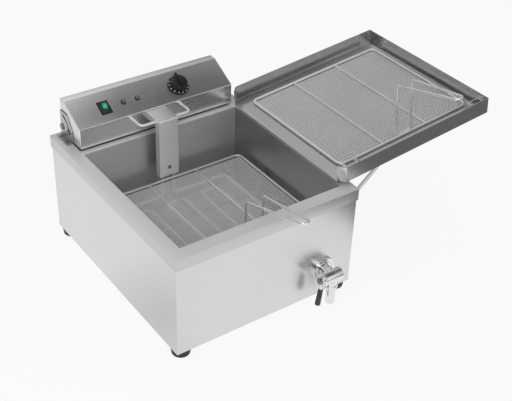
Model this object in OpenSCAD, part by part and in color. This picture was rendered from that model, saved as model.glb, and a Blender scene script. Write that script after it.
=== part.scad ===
// Counter-top doughnut fryer with a tilting control head, two fry grids and a lid
// that serves as a drain tray at the side.
// The origin lies on the floor, on the tread of the front left foot. X runs to the right along the
// front, Y to the rear and Z up.

/* [Cabinet] */
// Width of the rim from left to right
rim_w = 430; // [380:1:480]
// Depth of the rim from front to rear
rim_d = 512; // [480:1:560]
// Height of the skirt that is turned down from the rim
rim_skirt = 27; // [18:1:36]
// Height from the underside of the cabinet to the top of the rim
body_h = 234; // [228:1:270]
// Sheet thickness of the cabinet walls
cabinet_sheet = 1.2; // [0.8:0.1:1.6]
// Sheet thickness of the base plate
base_sheet = 1.5; // [1:0.1:2.5]
// Gap between the cabinet wall and the inside of the skirt
skirt_gap = 0.5; // [0.3:0.1:1]

/* [Tank] */
// Sheet thickness of the tank and its rim
tank_sheet = 1.5; // [1:0.1:2]
// Width of the rim beside the tank
side_strip = 26; // [24:1:32]
// Width of the rim in front of the tank
front_strip = 29; // [24:1:34]
// Width of the rim behind the tank, where the control head stands
rear_strip = 108; // [104:1:120]
// Depth of the tank below the rim
tank_depth = 196; // [180:1:200]

/* [Feet] */
// Height of a rubber foot
foot_h = 18; // [14:1:28]
// Diameter of a foot at the base plate
foot_top_d = 42; // [36:1:50]
// Diameter of a foot at the floor
foot_low_d = 37; // [30:1:44]
// Distance of a foot's middle from the cabinet walls
foot_inset = 21; // [21:1:50]
// Diameter of a foot screw
foot_screw_d = 6; // [5:0.5:8]

/* [Drain tap] */
// Place of the tap to the right of the middle
tap_x = 137; // [100:1:150]
// Height of the drain pipe's axis over the tank floor
drain_rise = 26; // [18:1:34]
// Outer diameter of the drain pipe
pipe_d = 21; // [19:0.5:22]
// Bore of the drain pipe
pipe_bore = 15; // [12:0.5:16]
// Diameter of the collar on the cabinet front
collar_d = 54; // [38:1:60]
// Thickness of the collar
collar_t = 6; // [4:0.5:8]
// Distance of the tap's barrel from the cabinet front
tap_reach = 32; // [31:1:40]
// Outer diameter of the barrel
barrel_d = 28; // [27:0.5:30]
// Length of the barrel
barrel_len = 40; // [36:1:48]
// Diameter of the turning plug
plug_d = 21; // [19:0.5:22]
// Diameter of the passage through the plug
port_d = 12; // [9:0.5:13]
// Outer diameter of the spout
spout_d = 20; // [18:0.5:22]
// Height of the spout's mouth over the floor
spout_gap = 16; // [12:1:30]
// Length of the lever from the barrel's axis to its end
lever_len = 58; // [54:1:66]
// Diameter of the lever rod
lever_d = 5; // [4:0.5:7]
// Outward lean of the lower lever
lever_lean = 8; // [6:1:22]

/* [Control head] */
// Distance of the head's ends from the rim's sides
head_inset = 27; // [26:0.5:34]
// Distance of the head's front from the tank's rear edge
head_setback = 15; // [12:0.5:18]
// Distance of the head's rear from the rim's rear edge
head_rear_gap = 6; // [4:0.5:10]
// Gap between the head and the rim
head_gap = 4; // [3.5:0.5:6]
// Height of the upright front face
head_face_h = 46; // [44:0.5:52]
// Height of the head
head_h = 81; // [74:1:90]
// Depth of the flat top
head_top_d = 19; // [14:1:26]
// Sheet thickness of the head
head_sheet = 1.2; // [1:0.1:1.6]
// Distance of the tilt pivot from the head's rear
pivot_inset = 9.5; // [8:0.5:12]
// Height of the tilt pivot over the rim
pivot_h = 22; // [21:0.5:25]
// Radius of the arc slot in the tilt brackets
slot_r = 30.5; // [27:0.5:32]
// Angle through which the head tilts
tilt_sweep = 75; // [60:1:78]

/* [Control panel] */
// Height of the row of controls along the sloping panel
panel_row = 35; // [31:0.5:39]
// Place of the switch from the middle
switch_x = -113; // [-130:1:-100]
// Place of the green lamp from the middle
green_x = -68; // [-76:1:-60]
// Place of the clear lamp from the middle
clear_x = -34; // [-44:1:-28]
// Place of the thermostat from the middle
knob_x = 68; // [56:1:110]
// Width of the switch frame
switch_w = 26; // [24:0.5:30]
// Length of the switch frame
switch_l = 33; // [31:0.5:38]
// Diameter of a lamp's ring
lamp_d = 12.5; // [11:0.5:16]
// Diameter of the knob's skirt
knob_d = 50; // [40:1:52]
// Height of the knob
knob_h = 20; // [16:1:24]

/* [Riser cover and lift loop] */
// Place of cover, loop and element from the middle
mid_x = -7; // [-7:0.5:7]
// Width of the cover
cover_w = 48; // [46:1:56]
// Distance of the cover's face from the head
cover_reach = 53; // [51:0.5:56]
// Height of the cover's top over the rim
cover_top = 47; // [45:0.5:48]
// Length of the cover's face
cover_drop = 140; // [110:1:142]
// Depth of the cover's sides
cover_side = 15; // [13:0.5:17]
// Sheet thickness of the cover
cover_sheet = 1.2; // [1:0.1:1.5]
// Width of the lift loop between its legs
loop_w = 122; // [100:1:140]
// Distance of the loop's front from the head
loop_reach = 41; // [36:0.5:44]
// Height of the loop over the rim
loop_h = 42; // [41:0.5:42.5]
// Diameter of the loop's wire
loop_d = 6.5; // [5:0.5:7]

/* [Heating element] */
// Diameter of the element tube
tube_d = 8; // [7:0.5:8.5]
// Distance between the two risers
riser_gap = 28; // [26:0.5:30]
// Height of the element over the tank floor
element_rise = 46; // [38:1:52]
// Distance between neighbouring runs
run_gap = 43; // [36:0.5:44]
// Number of runs from front to rear
element_runs = 8; // [4:2:8]
// Distance of the front bends from the tank's front wall
element_front = 38; // [36:1:60]
// Distance of the rear bends from the cross runs
element_rear = 38; // [34:1:50]

/* [Fry grids] */
// Gap between the grid and the tank's sides, shared by both
grid_side_gap = 11; // [11:0.5:24]
// Gap between the grid and the tank's front wall
grid_front_gap = 17; // [16:0.5:24]
// Gap between the grid and the tank's rear wall
grid_rear_gap = 41; // [41:0.5:50]
// Depth of the grid in the tank below the rim
grid_drop = 98; // [90:1:104]
// Diameter of the frame wire
frame_d = 6; // [5:0.5:7]
// Corner radius of the frame
grid_corner = 12; // [11:0.5:18]
// Diameter of the stiffener wires
stiffener_d = 4; // [4:0.5:5]
// Thickness of the mesh
mesh_t = 1; // [0.8:0.1:1.2]
// Width of a mesh bar
mesh_bar = 2; // [1.5:0.1:3]
// Width of the mesh border
mesh_edge = 4; // [3.5:0.1:6]
// Number of gaps in the mesh from left to right
mesh_columns = 17; // [8:1:18]
// Number of gaps in the mesh from front to rear
mesh_rows = 15; // [8:1:16]
// Diameter of the handle wire
handle_d = 5.5; // [5:0.5:6]
// Distance between the handle's uprights
handle_w = 40; // [34:1:50]
// Height of the handle's uprights
handle_h = 122; // [116:1:132]
// Forward reach of the handle
handle_reach = 158; // [120:1:170]
// Rise of the handle towards its end
handle_rise = 40; // [20:1:50]
// Width of the handle at its end
handle_tip = 16; // [16:0.5:24]
// Bend radius of the handle wire
handle_bend = 7.5; // [6:0.5:7.5]

/* [Lid tray] */
// Length of the lid from its open edge
lid_w = 404; // [380:1:420]
// Depth of the lid from front to rear
lid_d = 392; // [380:1:394]
// Height of the lid's walls
lid_wall = 37; // [30:1:44]
// Sheet thickness of the lid
lid_sheet = 1.2; // [1:0.1:1.6]
// Size of the slanted corners at the open edge
lid_cut = 13.5; // [10:0.5:18]
// Distance of the lid's front from the rim's front
lid_front = 24; // [24:0.5:28]
// Lap of the lid's open edge over the tank
lid_lap = 1.5; // [1:0.5:6]
// Height of the lid's open edge over the rim
lid_lift = 4.5; // [4:0.5:7]
// Upward tilt of the lid to the right
lid_tilt = 6.3; // [4:0.1:8]
// Place of the grid's middle from the lid's open edge
lid_grid_x = 212; // [204:1:214]
// Place of the grid's middle from the lid's front
lid_grid_y = 206; // [190:1:215]

/* [Prop bail] */
// Diameter of the bail's rod
bail_d = 8; // [6:0.5:9]
// Length of the bail's legs
bail_len = 178; // [165:1:200]
// Distance between the bail's legs
bail_w = 318; // [260:1:326]
// Distance of the bail's pivot from the lid's open edge
bail_x = 165; // [160:1:175]

/* [Hidden] */
$fn = 48;
// Overrun of every cut
over = 1;
// Radial clearance of turning and seated round pieces
fit = 0.05;
// Gap between pieces that lift away or slide past each other
ease = 0.3;
// Swelling of a wire's radius in its bends, and the lap of straight and bent lengths
bend_swell = 0.05;
bend_lap = 0.4;

// Tank and cabinet
rim_z = foot_h + body_h;
rim_front = -rim_d / 2;
tank_w = rim_w - 2 * side_strip;
tank_d = rim_d - front_strip - rear_strip;
tank_front = rim_front + front_strip;
tank_rear = tank_front + tank_d;
tank_floor = rim_z - tank_depth;
cab_w = rim_w - 2 * (tank_sheet + skirt_gap);
cab_d = rim_d - 2 * (tank_sheet + skirt_gap);
cab_front = -cab_d / 2;
wall_low = foot_h + base_sheet;

// Feet
foot_x = cab_w / 2 - foot_inset;
foot_y = cab_d / 2 - foot_inset;
foot_head_d = 2 * foot_screw_d;
tread_r = (foot_low_d + foot_head_d) / 4;
foot_head_t = foot_screw_d * 2 / 3;
foot_pocket = foot_h / 2;
foot_nut_d = 2 * foot_screw_d;
foot_nut_t = foot_screw_d * 5 / 6;

// Drain tap
drain_z = tank_floor + drain_rise;
barrel_y = cab_front - tap_reach;
socket_wall = 3;
socket_d = pipe_d + 2 * socket_wall;
socket_gap = 1;
socket_front = cab_front - collar_t - socket_gap;
socket_depth = 9;
pipe_gap = 2;
barrel_left = tap_x - barrel_len / 2;
barrel_end = 4;
stem_d = 9;
bonnet_t = 4;
hub_t = lever_d;
hub_d = 18;
nut_t = 5;
nut_d = 15;
outlet_d = 24;
outlet_len = 20;
spigot_len = 5;
spigot_d = 17;
spout_wall = 3;
hex_t = 9;
hex_d = 29;
hub_x = barrel_left - bonnet_t - hub_t / 2 - fit;
neck_len = 18;
lever_bend = 30;
grip_d = 12;
grip_wall = 2.5;
grip_len = 37;

// Control head
head_w = rim_w - 2 * head_inset;
head_front = tank_rear + head_setback;
head_rear = rim_d / 2 - head_rear_gap;
head_low = rim_z + head_gap;
head_top = head_low + head_h;
head_fold_z = head_low + head_face_h;
head_fold_y = head_rear - head_top_d;
panel_slope = atan2(head_top - head_fold_z, head_fold_y - head_front);
pivot_y = head_rear - pivot_inset;
pivot_z = rim_z + pivot_h;
pivot_d = 8;
pivot_cap_d = 14;
pivot_cap_t = 2.5;
slot_pin_d = 6;
slot_relief = 0.4;
slot_cap_d = 11;
slot_cap_t = 2.5;
bracket_t = 2.5;
bracket_gap = 0.5;
bracket_in = head_w / 2 + bracket_gap;
bracket_foot = 12;
bracket_front = 14;
bracket_rear = 7;
bracket_top = 38;
bracket_step = 8;
bracket_screw_d = 4;
bracket_cap_d = 8;
bracket_cap_t = 2;
bracket_screw_shares = [0.22, 0.78];
floor_lip = 14;
floor_gap = 0.2;
floor_screw_d = 4;
floor_cap_d = 8;
floor_cap_t = 2;
floor_screw_shares = [-0.42, -0.15, 0.15, 0.42];
floor_z = head_low + head_sheet;
inner_front = head_front + head_sheet;

// Panel controls
switch_hole_w = 22;
switch_hole_l = 29;
switch_lip = 2.5;
switch_deep = 26;
rocker_w = 18;
rocker_l = 25;
rocker_pocket = 11;
rocker_rise = 3;
rocker_valley = 1;
rocker_deep = 5;
rocker_tilt = 8;
rocker_pin_d = 3;
rocker_side = (switch_hole_w - rocker_w) / 4;
lamp_hole_d = 10;
lamp_lip = 2;
lamp_deep = 22;
lens_d = 8;
lens_rise = 3;
lens_deep = 6;
shaft_d = 6;
bush_d = 10;
bush_len = 4;
thermo_w = 46;
thermo_l = 36;
thermo_t = 24;
knob_gap = 0.8;
knob_skirt_t = 4;
knob_grip_d = 37;
knob_bar_w = 7;
knob_bar_t = 3;
knob_socket = 12;

// Pieces on the head floor and rear
cutout_w = 34;
cutout_l = 26;
cutout_t = 22;
cutout_inset = 58;
cutout_x = head_w / 2 - cutout_inset;
block_w = 64;
block_l = 20;
block_t = 18;
block_x = -20;
block_slots = 5;
block_slot_w = 7;
block_slot_deep = 8;
rear_row = head_rear - head_sheet - 2 * floor_lip;
plunger_d = 4;
sense_w = 26;
sense_l = 10;
sense_t = 16;
sense_inset = 38;
sense_x = sense_inset - head_w / 2;
gland_inset = 68;
gland_x = head_w / 2 - gland_inset;
gland_z = rim_z + 62;
gland_d = 20;
gland_bore = 9;
gland_hex_t = 6;
gland_len = 18;
gland_thread_d = 16;
gland_nut_t = 5;

// Riser cover, risers and element
cover_y = head_front - cover_reach;
cover_z = rim_z + cover_top;
cover_low = cover_z - cover_drop;
cover_bend = 4;
cover_slot_gap = 0.4;
loop_z = rim_z + loop_h;
loop_bend = 9;
flange_w = 92;
flange_t = 3;
flange_low = floor_z + floor_lip + ease;
flange_top = head_fold_z - 2 * head_sheet;
riser_space = 2.5;
tube_bend = 12;
riser_y = cover_y + cover_sheet + riser_space + tube_d / 2;
riser_top = cover_z - cover_sheet - riser_space - tube_d / 2;
terminal_len = 22;
element_z = tank_floor + element_rise;
element_w = run_gap * (element_runs - 1);
run_front = tank_front + element_front + tube_d / 2;
run_rear = riser_y - element_rear + tube_d;
clamp_w = 42;
clamp_t = 3;
clamp_h = 12;
clamp_z_share = 0.85;
clamp_z = cover_z - clamp_z_share * cover_drop;
clamp_y = riser_y + tube_d / 2 + fit;
cover_screw_d = 4;
cover_cap_d = 8;
cover_cap_t = 2;
cap_d = 2;
cap_bend = 5;
cap_x = mid_x + riser_gap / 4;
bulb_d = 6.5;
bulb_len = 90;
bulb_z = element_z + (tube_d + bulb_d) / 2 + ease;

// Fry grids: both are alike, so each fits the tank and the lid
lid_room_w = 2 * (lid_w - lid_sheet - ease - lid_grid_x);
lid_room_d = 2 * (min(lid_grid_y, lid_d - lid_grid_y) - lid_sheet - ease);
grid_w = min(tank_w - 2 * grid_side_gap, lid_room_w);
grid_d = min(tank_d - grid_front_gap - grid_rear_gap, lid_room_d);
grid_side = 4;
grid_x = mid_x + grid_side;
grid_y = tank_front + grid_front_gap + grid_d / 2;
grid_z = rim_z - grid_drop;
mesh_low = -frame_d / 2;
mesh_top = mesh_low + mesh_t;
mesh_inset = frame_d / 2 + sqrt(pow(frame_d / 2, 2) - pow(mesh_top, 2)) + fit;
mesh_w = grid_w - 2 * mesh_inset;
mesh_d = grid_d - 2 * mesh_inset;
stiffener_z = mesh_top + stiffener_d / 2;
stiffener_share = 1 / 6;
handle_y = -grid_d / 2 + frame_d + handle_d / 2 + fit + bend_swell;
handle_z = mesh_top + handle_d / 2 + fit + bend_swell;
rest_t = 2.5;
rest_w = 12;
rest_shares = [0.2, 0.78];
rest_half = (grid_w - frame_d) / 2;
rest_low = element_z - tube_d / 2 - rest_t;

// Lid and bail
lid_x = tank_w / 2 - lid_lap;
lid_clear = 6;
lid_y = min(rim_front + lid_front, pivot_y - slot_r - bracket_front - lid_clear - lid_d);
lid_z = rim_z + lid_lift;
lid_rest_x = 8;
lid_rest_w = 10;
lid_rest_inset = 24;
tab_inset = 12;
tab_w = 38;
tab_l = 17;
tab_slot_w = 19;
tab_slot_l = 11;
bail_drop = 6;
clip_w = 16;
clip_l = 11;
bail_bend = 12;
stub_len = bail_bend + 2 * bend_lap + clip_l;
bail_front = lid_y + (lid_d - bail_w) / 2;
bail_rear = bail_front + bail_w;
bail_px = lid_x + bail_x * cos(lid_tilt) + bail_drop * sin(lid_tilt);
bail_pz = lid_z + bail_x * sin(lid_tilt) - bail_drop * cos(lid_tilt);
bail_end_x = cab_w / 2 + bail_d / 2 + ease;
bail_end_z = bail_pz - sqrt(pow(bail_len, 2) - pow(bail_px - bail_end_x, 2));

// Direction and bend helpers for bent wire and tube
function unit(v) = v / norm(v);
function turn(u, v) = acos(max(-1, min(1, u * v)));
function heading(path, i) = unit(path[(i + 1) % len(path)] - path[i]);
function trim(path, i, bend_r, closed) =
    let (n = len(path))
    !closed && (i == 0 || i == n - 1) ? 0
    : bend_r * tan(turn(heading(path, (i + n - 1) % n), heading(path, i)) / 2);
function upright(ex) = abs(ex[2]) > 0.99999;
function angles(ex, ey, ez) = upright(ex)
    ? [0, ex[2] < 0 ? 90 : -90, atan2(-ey[0], ey[1])]
    : [atan2(ey[2], ez[2]), asin(-ex[2]), atan2(ex[1], ex[0])];

// A straight round bar between two points
module rod(a, b, d) {
    v = b - a;
    translate(a)
        rotate([0, acos(v[2] / norm(v)), atan2(v[1], v[0])])
            cylinder(d = d, h = norm(v));
}

// A round elbow at a corner of a path
module elbow(corner, u, v, d, bend_r) {
    sweep = turn(u, v);
    centre = corner + unit(v - u) * bend_r / cos(sweep / 2);
    start = corner - u * bend_r * tan(sweep / 2);
    ex = unit(start - centre);
    translate(centre)
        rotate(angles(ex, u, cross(ex, u)))
            rotate_extrude(angle = sweep)
                translate([bend_r, 0])
                    circle(d = d);
}

// A bent round bar along a path, with one bend radius; the bar swells slightly in its bends
module wire(path, d, bend_r, closed = false) {
    n = len(path);
    last = closed ? n - 1 : n - 2;
    for (i = [0 : last]) {
        u = heading(path, i);
        j = (i + 1) % n;
        lap_a = closed || i > 0 ? bend_lap : 0;
        lap_b = closed || i < last ? bend_lap : 0;
        rod(path[i] + u * (trim(path, i, bend_r, closed) - lap_a),
            path[j] - u * (trim(path, j, bend_r, closed) - lap_b), d);
    }
    for (i = [closed ? 0 : 1 : last])
        elbow(path[i], heading(path, (i + n - 1) % n), heading(path, i), d + 2 * bend_swell, bend_r);
}

// A flat rectangle with round corners, around the origin
module rounded(w, d, r) {
    square([w - 2 * r, d], center = true);
    square([w, d - 2 * r], center = true);
    for (x = [-1, 1], y = [-1, 1])
        translate([x * (w / 2 - r), y * (d / 2 - r)])
            circle(r = r);
}

// A cylinder along X or Y from a start point
module along_x(d, h) {
    rotate([0, 90, 0])
        cylinder(d = d, h = h);
}

module along_y(d, h) {
    rotate([-90, 0, 0])
        cylinder(d = d, h = h);
}

// A box around x = 0 that starts at y and z
module slab(w, y, z, d, h) {
    translate([-w / 2, y, z])
        cube([w, d, h]);
}

// The four places of the feet
module at_feet() {
    for (x = [-foot_x, foot_x], y = [-foot_y, foot_y])
        translate([x, y, 0])
            children();
}

// The frame of the sloping panel: Y up the slope from its lower fold, Z out of it
module on_panel(x, y) {
    translate([0, head_front, head_fold_z])
        rotate([panel_slope, 0, 0])
            translate([x, y, 0])
                children();
}

// The tilted frame of the lid, from the front end of its open edge
module on_lid() {
    translate([lid_x, lid_y, lid_z])
        rotate([0, -lid_tilt, 0])
            children();
}

module in_tank() {
    translate([grid_x, grid_y, grid_z])
        children();
}

module on_tray() {
    on_lid()
        translate([lid_grid_x, lid_grid_y, lid_sheet + frame_d / 2 + ease])
            children();
}

// The two ends of the head, seen from its middle
module both_ends() {
    children();
    mirror([1, 0, 0])
        children();
}

// Cabinet

module cabinet_shell() {
    color("silver")
        difference() {
            slab(cab_w, cab_front, wall_low, cab_d, rim_z - tank_sheet - wall_low);
            slab(cab_w - 2 * cabinet_sheet, cab_front + cabinet_sheet, wall_low - over,
                cab_d - 2 * cabinet_sheet, body_h + 2 * over);
            translate([tap_x, cab_front - over, drain_z])
                along_y(pipe_d + pipe_gap, cabinet_sheet + 2 * over);
        }
}

module base_plate() {
    color("silver")
        difference() {
            slab(cab_w, cab_front, foot_h, cab_d, base_sheet);
            at_feet()
                translate([0, 0, foot_h - over])
                    cylinder(d = foot_screw_d + 2 * fit, h = base_sheet + 2 * over);
        }
}

module tank() {
    color("gainsboro")
        difference() {
            union() {
                difference() {
                    slab(rim_w, rim_front, rim_z - rim_skirt, rim_d, rim_skirt);
                    slab(rim_w - 2 * tank_sheet, rim_front + tank_sheet, rim_z - rim_skirt - over,
                        rim_d - 2 * tank_sheet, rim_skirt - tank_sheet + over);
                }
                slab(tank_w + 2 * tank_sheet, tank_front - tank_sheet, tank_floor - tank_sheet,
                    tank_d + 2 * tank_sheet, tank_depth);
            }
            slab(tank_w, tank_front, tank_floor, tank_d, tank_depth + over);
            translate([tap_x, tank_front - tank_sheet - over, drain_z])
                along_y(pipe_d + 2 * fit, tank_sheet + 2 * over);
        }
}

module feet() {
    color("dimgray")
        at_feet()
            difference() {
                cylinder(d1 = foot_low_d, d2 = foot_top_d, h = foot_h);
                translate([0, 0, -over])
                    cylinder(d = foot_head_d + 2 * over, h = foot_pocket + over);
                cylinder(d = foot_screw_d + 2 * fit, h = foot_h + over);
            }
}

module foot_screws() {
    color("gray")
        at_feet() {
            translate([0, 0, foot_pocket - foot_head_t])
                cylinder(d = foot_head_d, h = foot_head_t);
            translate([0, 0, foot_pocket - foot_head_t])
                cylinder(d = foot_screw_d, h = wall_low + foot_nut_t + over - foot_pocket + foot_head_t);
        }
}

module foot_nuts() {
    color("gray")
        at_feet()
            translate([0, 0, wall_low])
                difference() {
                    cylinder(d = foot_nut_d, h = foot_nut_t, $fn = 6);
                    translate([0, 0, -over])
                        cylinder(d = foot_screw_d + 2 * fit, h = foot_nut_t + 2 * over);
                }
}

// Drain tap: a barrel across the flow, with a plug that has an angled passage

module drain_pipe() {
    color("silver")
        translate([tap_x, socket_front - socket_depth, drain_z])
            difference() {
                along_y(pipe_d, tank_front - socket_front + socket_depth);
                translate([0, -over, 0])
                    along_y(pipe_bore, tank_front - socket_front + socket_depth + 2 * over);
            }
}

module drain_collar() {
    color("silver")
        translate([tap_x, cab_front - collar_t, drain_z])
            difference() {
                along_y(collar_d, collar_t);
                translate([0, -over, 0])
                    along_y(pipe_d + 2 * fit, collar_t + 2 * over);
            }
}

module tap_body() {
    color("silver")
        difference() {
            union() {
                translate([barrel_left, barrel_y, drain_z])
                    along_x(barrel_d, barrel_len);
                translate([tap_x, barrel_y, drain_z])
                    along_y(socket_d, socket_front - barrel_y);
                translate([tap_x, barrel_y, drain_z - outlet_len])
                    cylinder(d = outlet_d, h = outlet_len);
            }
            translate([barrel_left - over, barrel_y, drain_z])
                along_x(plug_d + 2 * fit, barrel_len - barrel_end + over);
            translate([tap_x, barrel_y, drain_z])
                along_y(port_d, socket_front - barrel_y);
            translate([tap_x, socket_front - socket_depth, drain_z])
                along_y(pipe_d + 2 * fit, socket_depth + over);
            translate([tap_x, barrel_y, drain_z - outlet_len - over])
                cylinder(d = port_d, h = outlet_len + over);
            translate([tap_x, barrel_y, drain_z - outlet_len - over])
                cylinder(d = spigot_d + 2 * fit, h = spigot_len + over);
        }
}

module tap_bonnet() {
    color("silver")
        translate([barrel_left - bonnet_t, barrel_y, drain_z])
            difference() {
                along_x(barrel_d, bonnet_t);
                translate([-over, 0, 0])
                    along_x(stem_d + 2 * fit, bonnet_t + 2 * over);
            }
}

module tap_spout() {
    spout_low = spout_gap;
    hex_top = drain_z - outlet_len;
    color("silver")
        translate([tap_x, barrel_y, 0])
            difference() {
                union() {
                    translate([0, 0, spout_low])
                        cylinder(d = spout_d, h = hex_top - spout_low);
                    translate([0, 0, hex_top - hex_t])
                        cylinder(d = hex_d, h = hex_t, $fn = 6);
                    translate([0, 0, hex_top])
                        cylinder(d = spigot_d, h = spigot_len);
                }
                translate([0, 0, spout_low - over])
                    cylinder(d = spout_d - 2 * spout_wall, h = hex_top - spout_low + over);
                translate([0, 0, hex_top - over])
                    cylinder(d = port_d, h = spigot_len + 2 * over);
            }
}

module tap_plug() {
    plug_len = barrel_len - barrel_end - ease;
    stem_len = bonnet_t + hub_t + nut_t;
    color("goldenrod")
        translate([barrel_left, barrel_y, drain_z])
            difference() {
                union() {
                    along_x(plug_d, plug_len);
                    translate([-stem_len, 0, 0])
                        along_x(stem_d, stem_len + over);
                }
                translate([barrel_len / 2, 0, 0])
                    along_y(port_d, plug_d);
                translate([barrel_len / 2, 0, 0])
                    cylinder(d = port_d, h = plug_d);
                translate([barrel_len / 2, 0, 0])
                    sphere(d = port_d);
            }
}

// The lever's corner below the hub, and its end
lever_knee = [hub_x, barrel_y, drain_z - neck_len];
lever_end = lever_knee + (lever_len - neck_len) * [-tan(lever_lean), 0, -1];

module tap_lever() {
    color("silver")
        difference() {
            union() {
                translate([hub_x - hub_t / 2, barrel_y, drain_z])
                    along_x(hub_d, hub_t);
                wire([[hub_x, barrel_y, drain_z], lever_knee, lever_end], lever_d, lever_bend);
            }
            translate([hub_x - hub_t, barrel_y, drain_z])
                along_x(stem_d + 2 * fit, 2 * hub_t);
        }
}

module tap_grip() {
    lean = unit(lever_end - lever_knee);
    grip_end = lever_end + lean * grip_wall;
    color("dimgray")
        difference() {
            rod(grip_end - lean * grip_len, grip_end, grip_d);
            rod(grip_end - lean * (grip_len + over), lever_end + lean * fit, lever_d + 2 * fit);
        }
}

module tap_nut() {
    color("silver")
        translate([hub_x - hub_t / 2 - nut_t, barrel_y, drain_z])
            difference() {
                rotate([0, 90, 0])
                    cylinder(d = nut_d, h = nut_t, $fn = 6);
                translate([-over, 0, 0])
                    along_x(stem_d + 2 * fit, nut_t + 2 * over);
            }
}

// Tilt brackets and the pins of the head

// An arc slot with slightly wider round ends
module arc_slot(r, w, sweep) {
    rotate([0, 0, 180 - sweep])
        rotate_extrude(angle = sweep)
            translate([r - w / 2, -over])
                square([w, bracket_t + 2 * over]);
    for (a = [180, 180 - sweep])
        rotate([0, 0, a])
            translate([r, 0, -over])
                cylinder(d = w + 2 * slot_relief, h = bracket_t + 2 * over);
}

module tilt_brackets() {
    plate_front = slot_r + bracket_front;
    color("silver")
        both_ends() {
            difference() {
                translate([bracket_in, pivot_y, pivot_z])
                    rotate([90, 0, 90])
                        difference() {
                            linear_extrude(bracket_t)
                                polygon([
                                    [-plate_front, -pivot_h], [bracket_rear, -pivot_h],
                                    [bracket_rear, bracket_top], [-plate_front / 2, bracket_top],
                                    [-plate_front, bracket_step]
                                ]);
                            arc_slot(slot_r, slot_pin_d + 2 * ease, tilt_sweep);
                        }
                translate([bracket_in - over, pivot_y, pivot_z])
                    along_x(pivot_d + 2 * fit, bracket_t + 2 * over);
            }
            difference() {
                translate([bracket_in, pivot_y - plate_front, rim_z])
                    cube([bracket_t + bracket_foot, plate_front + bracket_rear, bracket_t]);
                bracket_holes(bracket_screw_d + 2 * fit, rim_z - over, bracket_t + 2 * over);
            }
        }
}

module bracket_holes(d, z, h) {
    length = slot_r + bracket_front + bracket_rear;
    for (share = bracket_screw_shares)
        translate([bracket_in + bracket_t + bracket_foot / 2,
            pivot_y - slot_r - bracket_front + share * length, z])
            cylinder(d = d, h = h);
}

module bracket_screws() {
    color("gray")
        both_ends() {
            bracket_holes(bracket_screw_d, rim_z, bracket_t + bracket_cap_t);
            bracket_holes(bracket_cap_d, rim_z + bracket_t, bracket_cap_t);
        }
}

module pivot_pins() {
    pin_in = head_w / 2 - head_sheet - ease - pivot_cap_t;
    pin_out = bracket_in + bracket_t;
    color("gray")
        both_ends()
            translate([pin_in, pivot_y, pivot_z]) {
                along_x(pivot_cap_d, pivot_cap_t);
                along_x(pivot_d, pin_out + pivot_cap_t - pin_in);
                translate([pin_out - pin_in, 0, 0])
                    along_x(pivot_cap_d, pivot_cap_t);
            }
}

module slot_pins() {
    pin_in = head_w / 2 - head_sheet - slot_cap_t;
    pin_out = bracket_in + bracket_t + ease;
    color("gray")
        both_ends()
            translate([pin_in, pivot_y - slot_r, pivot_z]) {
                along_x(slot_cap_d, slot_cap_t);
                along_x(slot_pin_d, pin_out + slot_cap_t - pin_in);
                translate([pin_out - pin_in, 0, 0])
                    along_x(slot_cap_d, slot_cap_t);
            }
}

// Control head

// Side outline of the head, drawn in by a wall thickness
module head_side(t) {
    slack = tan((90 - panel_slope) / 2);
    polygon([
        [head_front + t, head_low + (t > 0 ? -over : 0)], [head_rear - t, head_low + (t > 0 ? -over : 0)],
        [head_rear - t, head_top - t], [head_fold_y + t * tan(panel_slope / 2), head_top - t],
        [head_front + t, head_fold_z - t * slack]
    ]);
}

module head_prism(w, t) {
    translate([-w / 2, 0, 0])
        rotate([90, 0, 90])
            linear_extrude(w)
                head_side(t);
}

module head_shell() {
    color("silver")
        difference() {
            head_prism(head_w, 0);
            head_prism(head_w - 2 * head_sheet, head_sheet);
            on_panel(switch_x, panel_row)
                translate([-switch_hole_w / 2 - fit, -switch_hole_l / 2 - fit, -over - head_sheet])
                    cube([switch_hole_w + 2 * fit, switch_hole_l + 2 * fit, head_sheet + 2 * over]);
            for (x = [green_x, clear_x])
                on_panel(x, panel_row)
                    translate([0, 0, -over - head_sheet])
                        cylinder(d = lamp_hole_d + 2 * fit, h = head_sheet + 2 * over);
            on_panel(knob_x, panel_row)
                translate([0, 0, -over - head_sheet])
                    cylinder(d = bush_d + 2 * fit, h = head_sheet + 2 * over);
            translate([mid_x, 0, 0])
                slab(cover_w + 2 * cover_slot_gap, head_front - over, cover_z - cover_side - cover_slot_gap,
                    head_sheet + 2 * over, cover_side + 2 * cover_slot_gap);
            both_ends() {
                translate([head_w / 2 - head_sheet - over, pivot_y, pivot_z])
                    along_x(pivot_d + 2 * fit, head_sheet + 2 * over);
                translate([head_w / 2 - head_sheet - over, pivot_y - slot_r, pivot_z])
                    along_x(slot_pin_d + 2 * fit, head_sheet + 2 * over);
            }
            floor_holes(floor_screw_d + 2 * fit, head_sheet + 2 * over, head_rear - head_sheet - over);
            translate([gland_x, head_rear - head_sheet - over, gland_z])
                along_y(gland_thread_d + 2 * fit, head_sheet + 2 * over);
        }
}

module floor_holes(d, h, y) {
    for (share = floor_screw_shares)
        translate([share * head_w, y, head_low + floor_lip / 2])
            along_y(d, h);
}

module head_floor() {
    floor_w = head_w - 2 * head_sheet - 2 * floor_gap;
    inner_d = head_rear - head_front - 2 * head_sheet;
    color("darkgray")
        difference() {
            union() {
                slab(floor_w, inner_front, head_low, inner_d, head_sheet);
                slab(floor_w, inner_front, head_low, head_sheet, floor_lip);
                slab(floor_w, inner_front + inner_d - head_sheet, head_low, head_sheet, floor_lip);
            }
            floor_holes(floor_screw_d + 2 * fit, head_sheet + 2 * over, head_rear - 2 * head_sheet - over);
            translate([sense_x, rear_row, head_low - over])
                cylinder(d = plunger_d + 2 * ease, h = head_sheet + 2 * over);
        }
}

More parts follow.
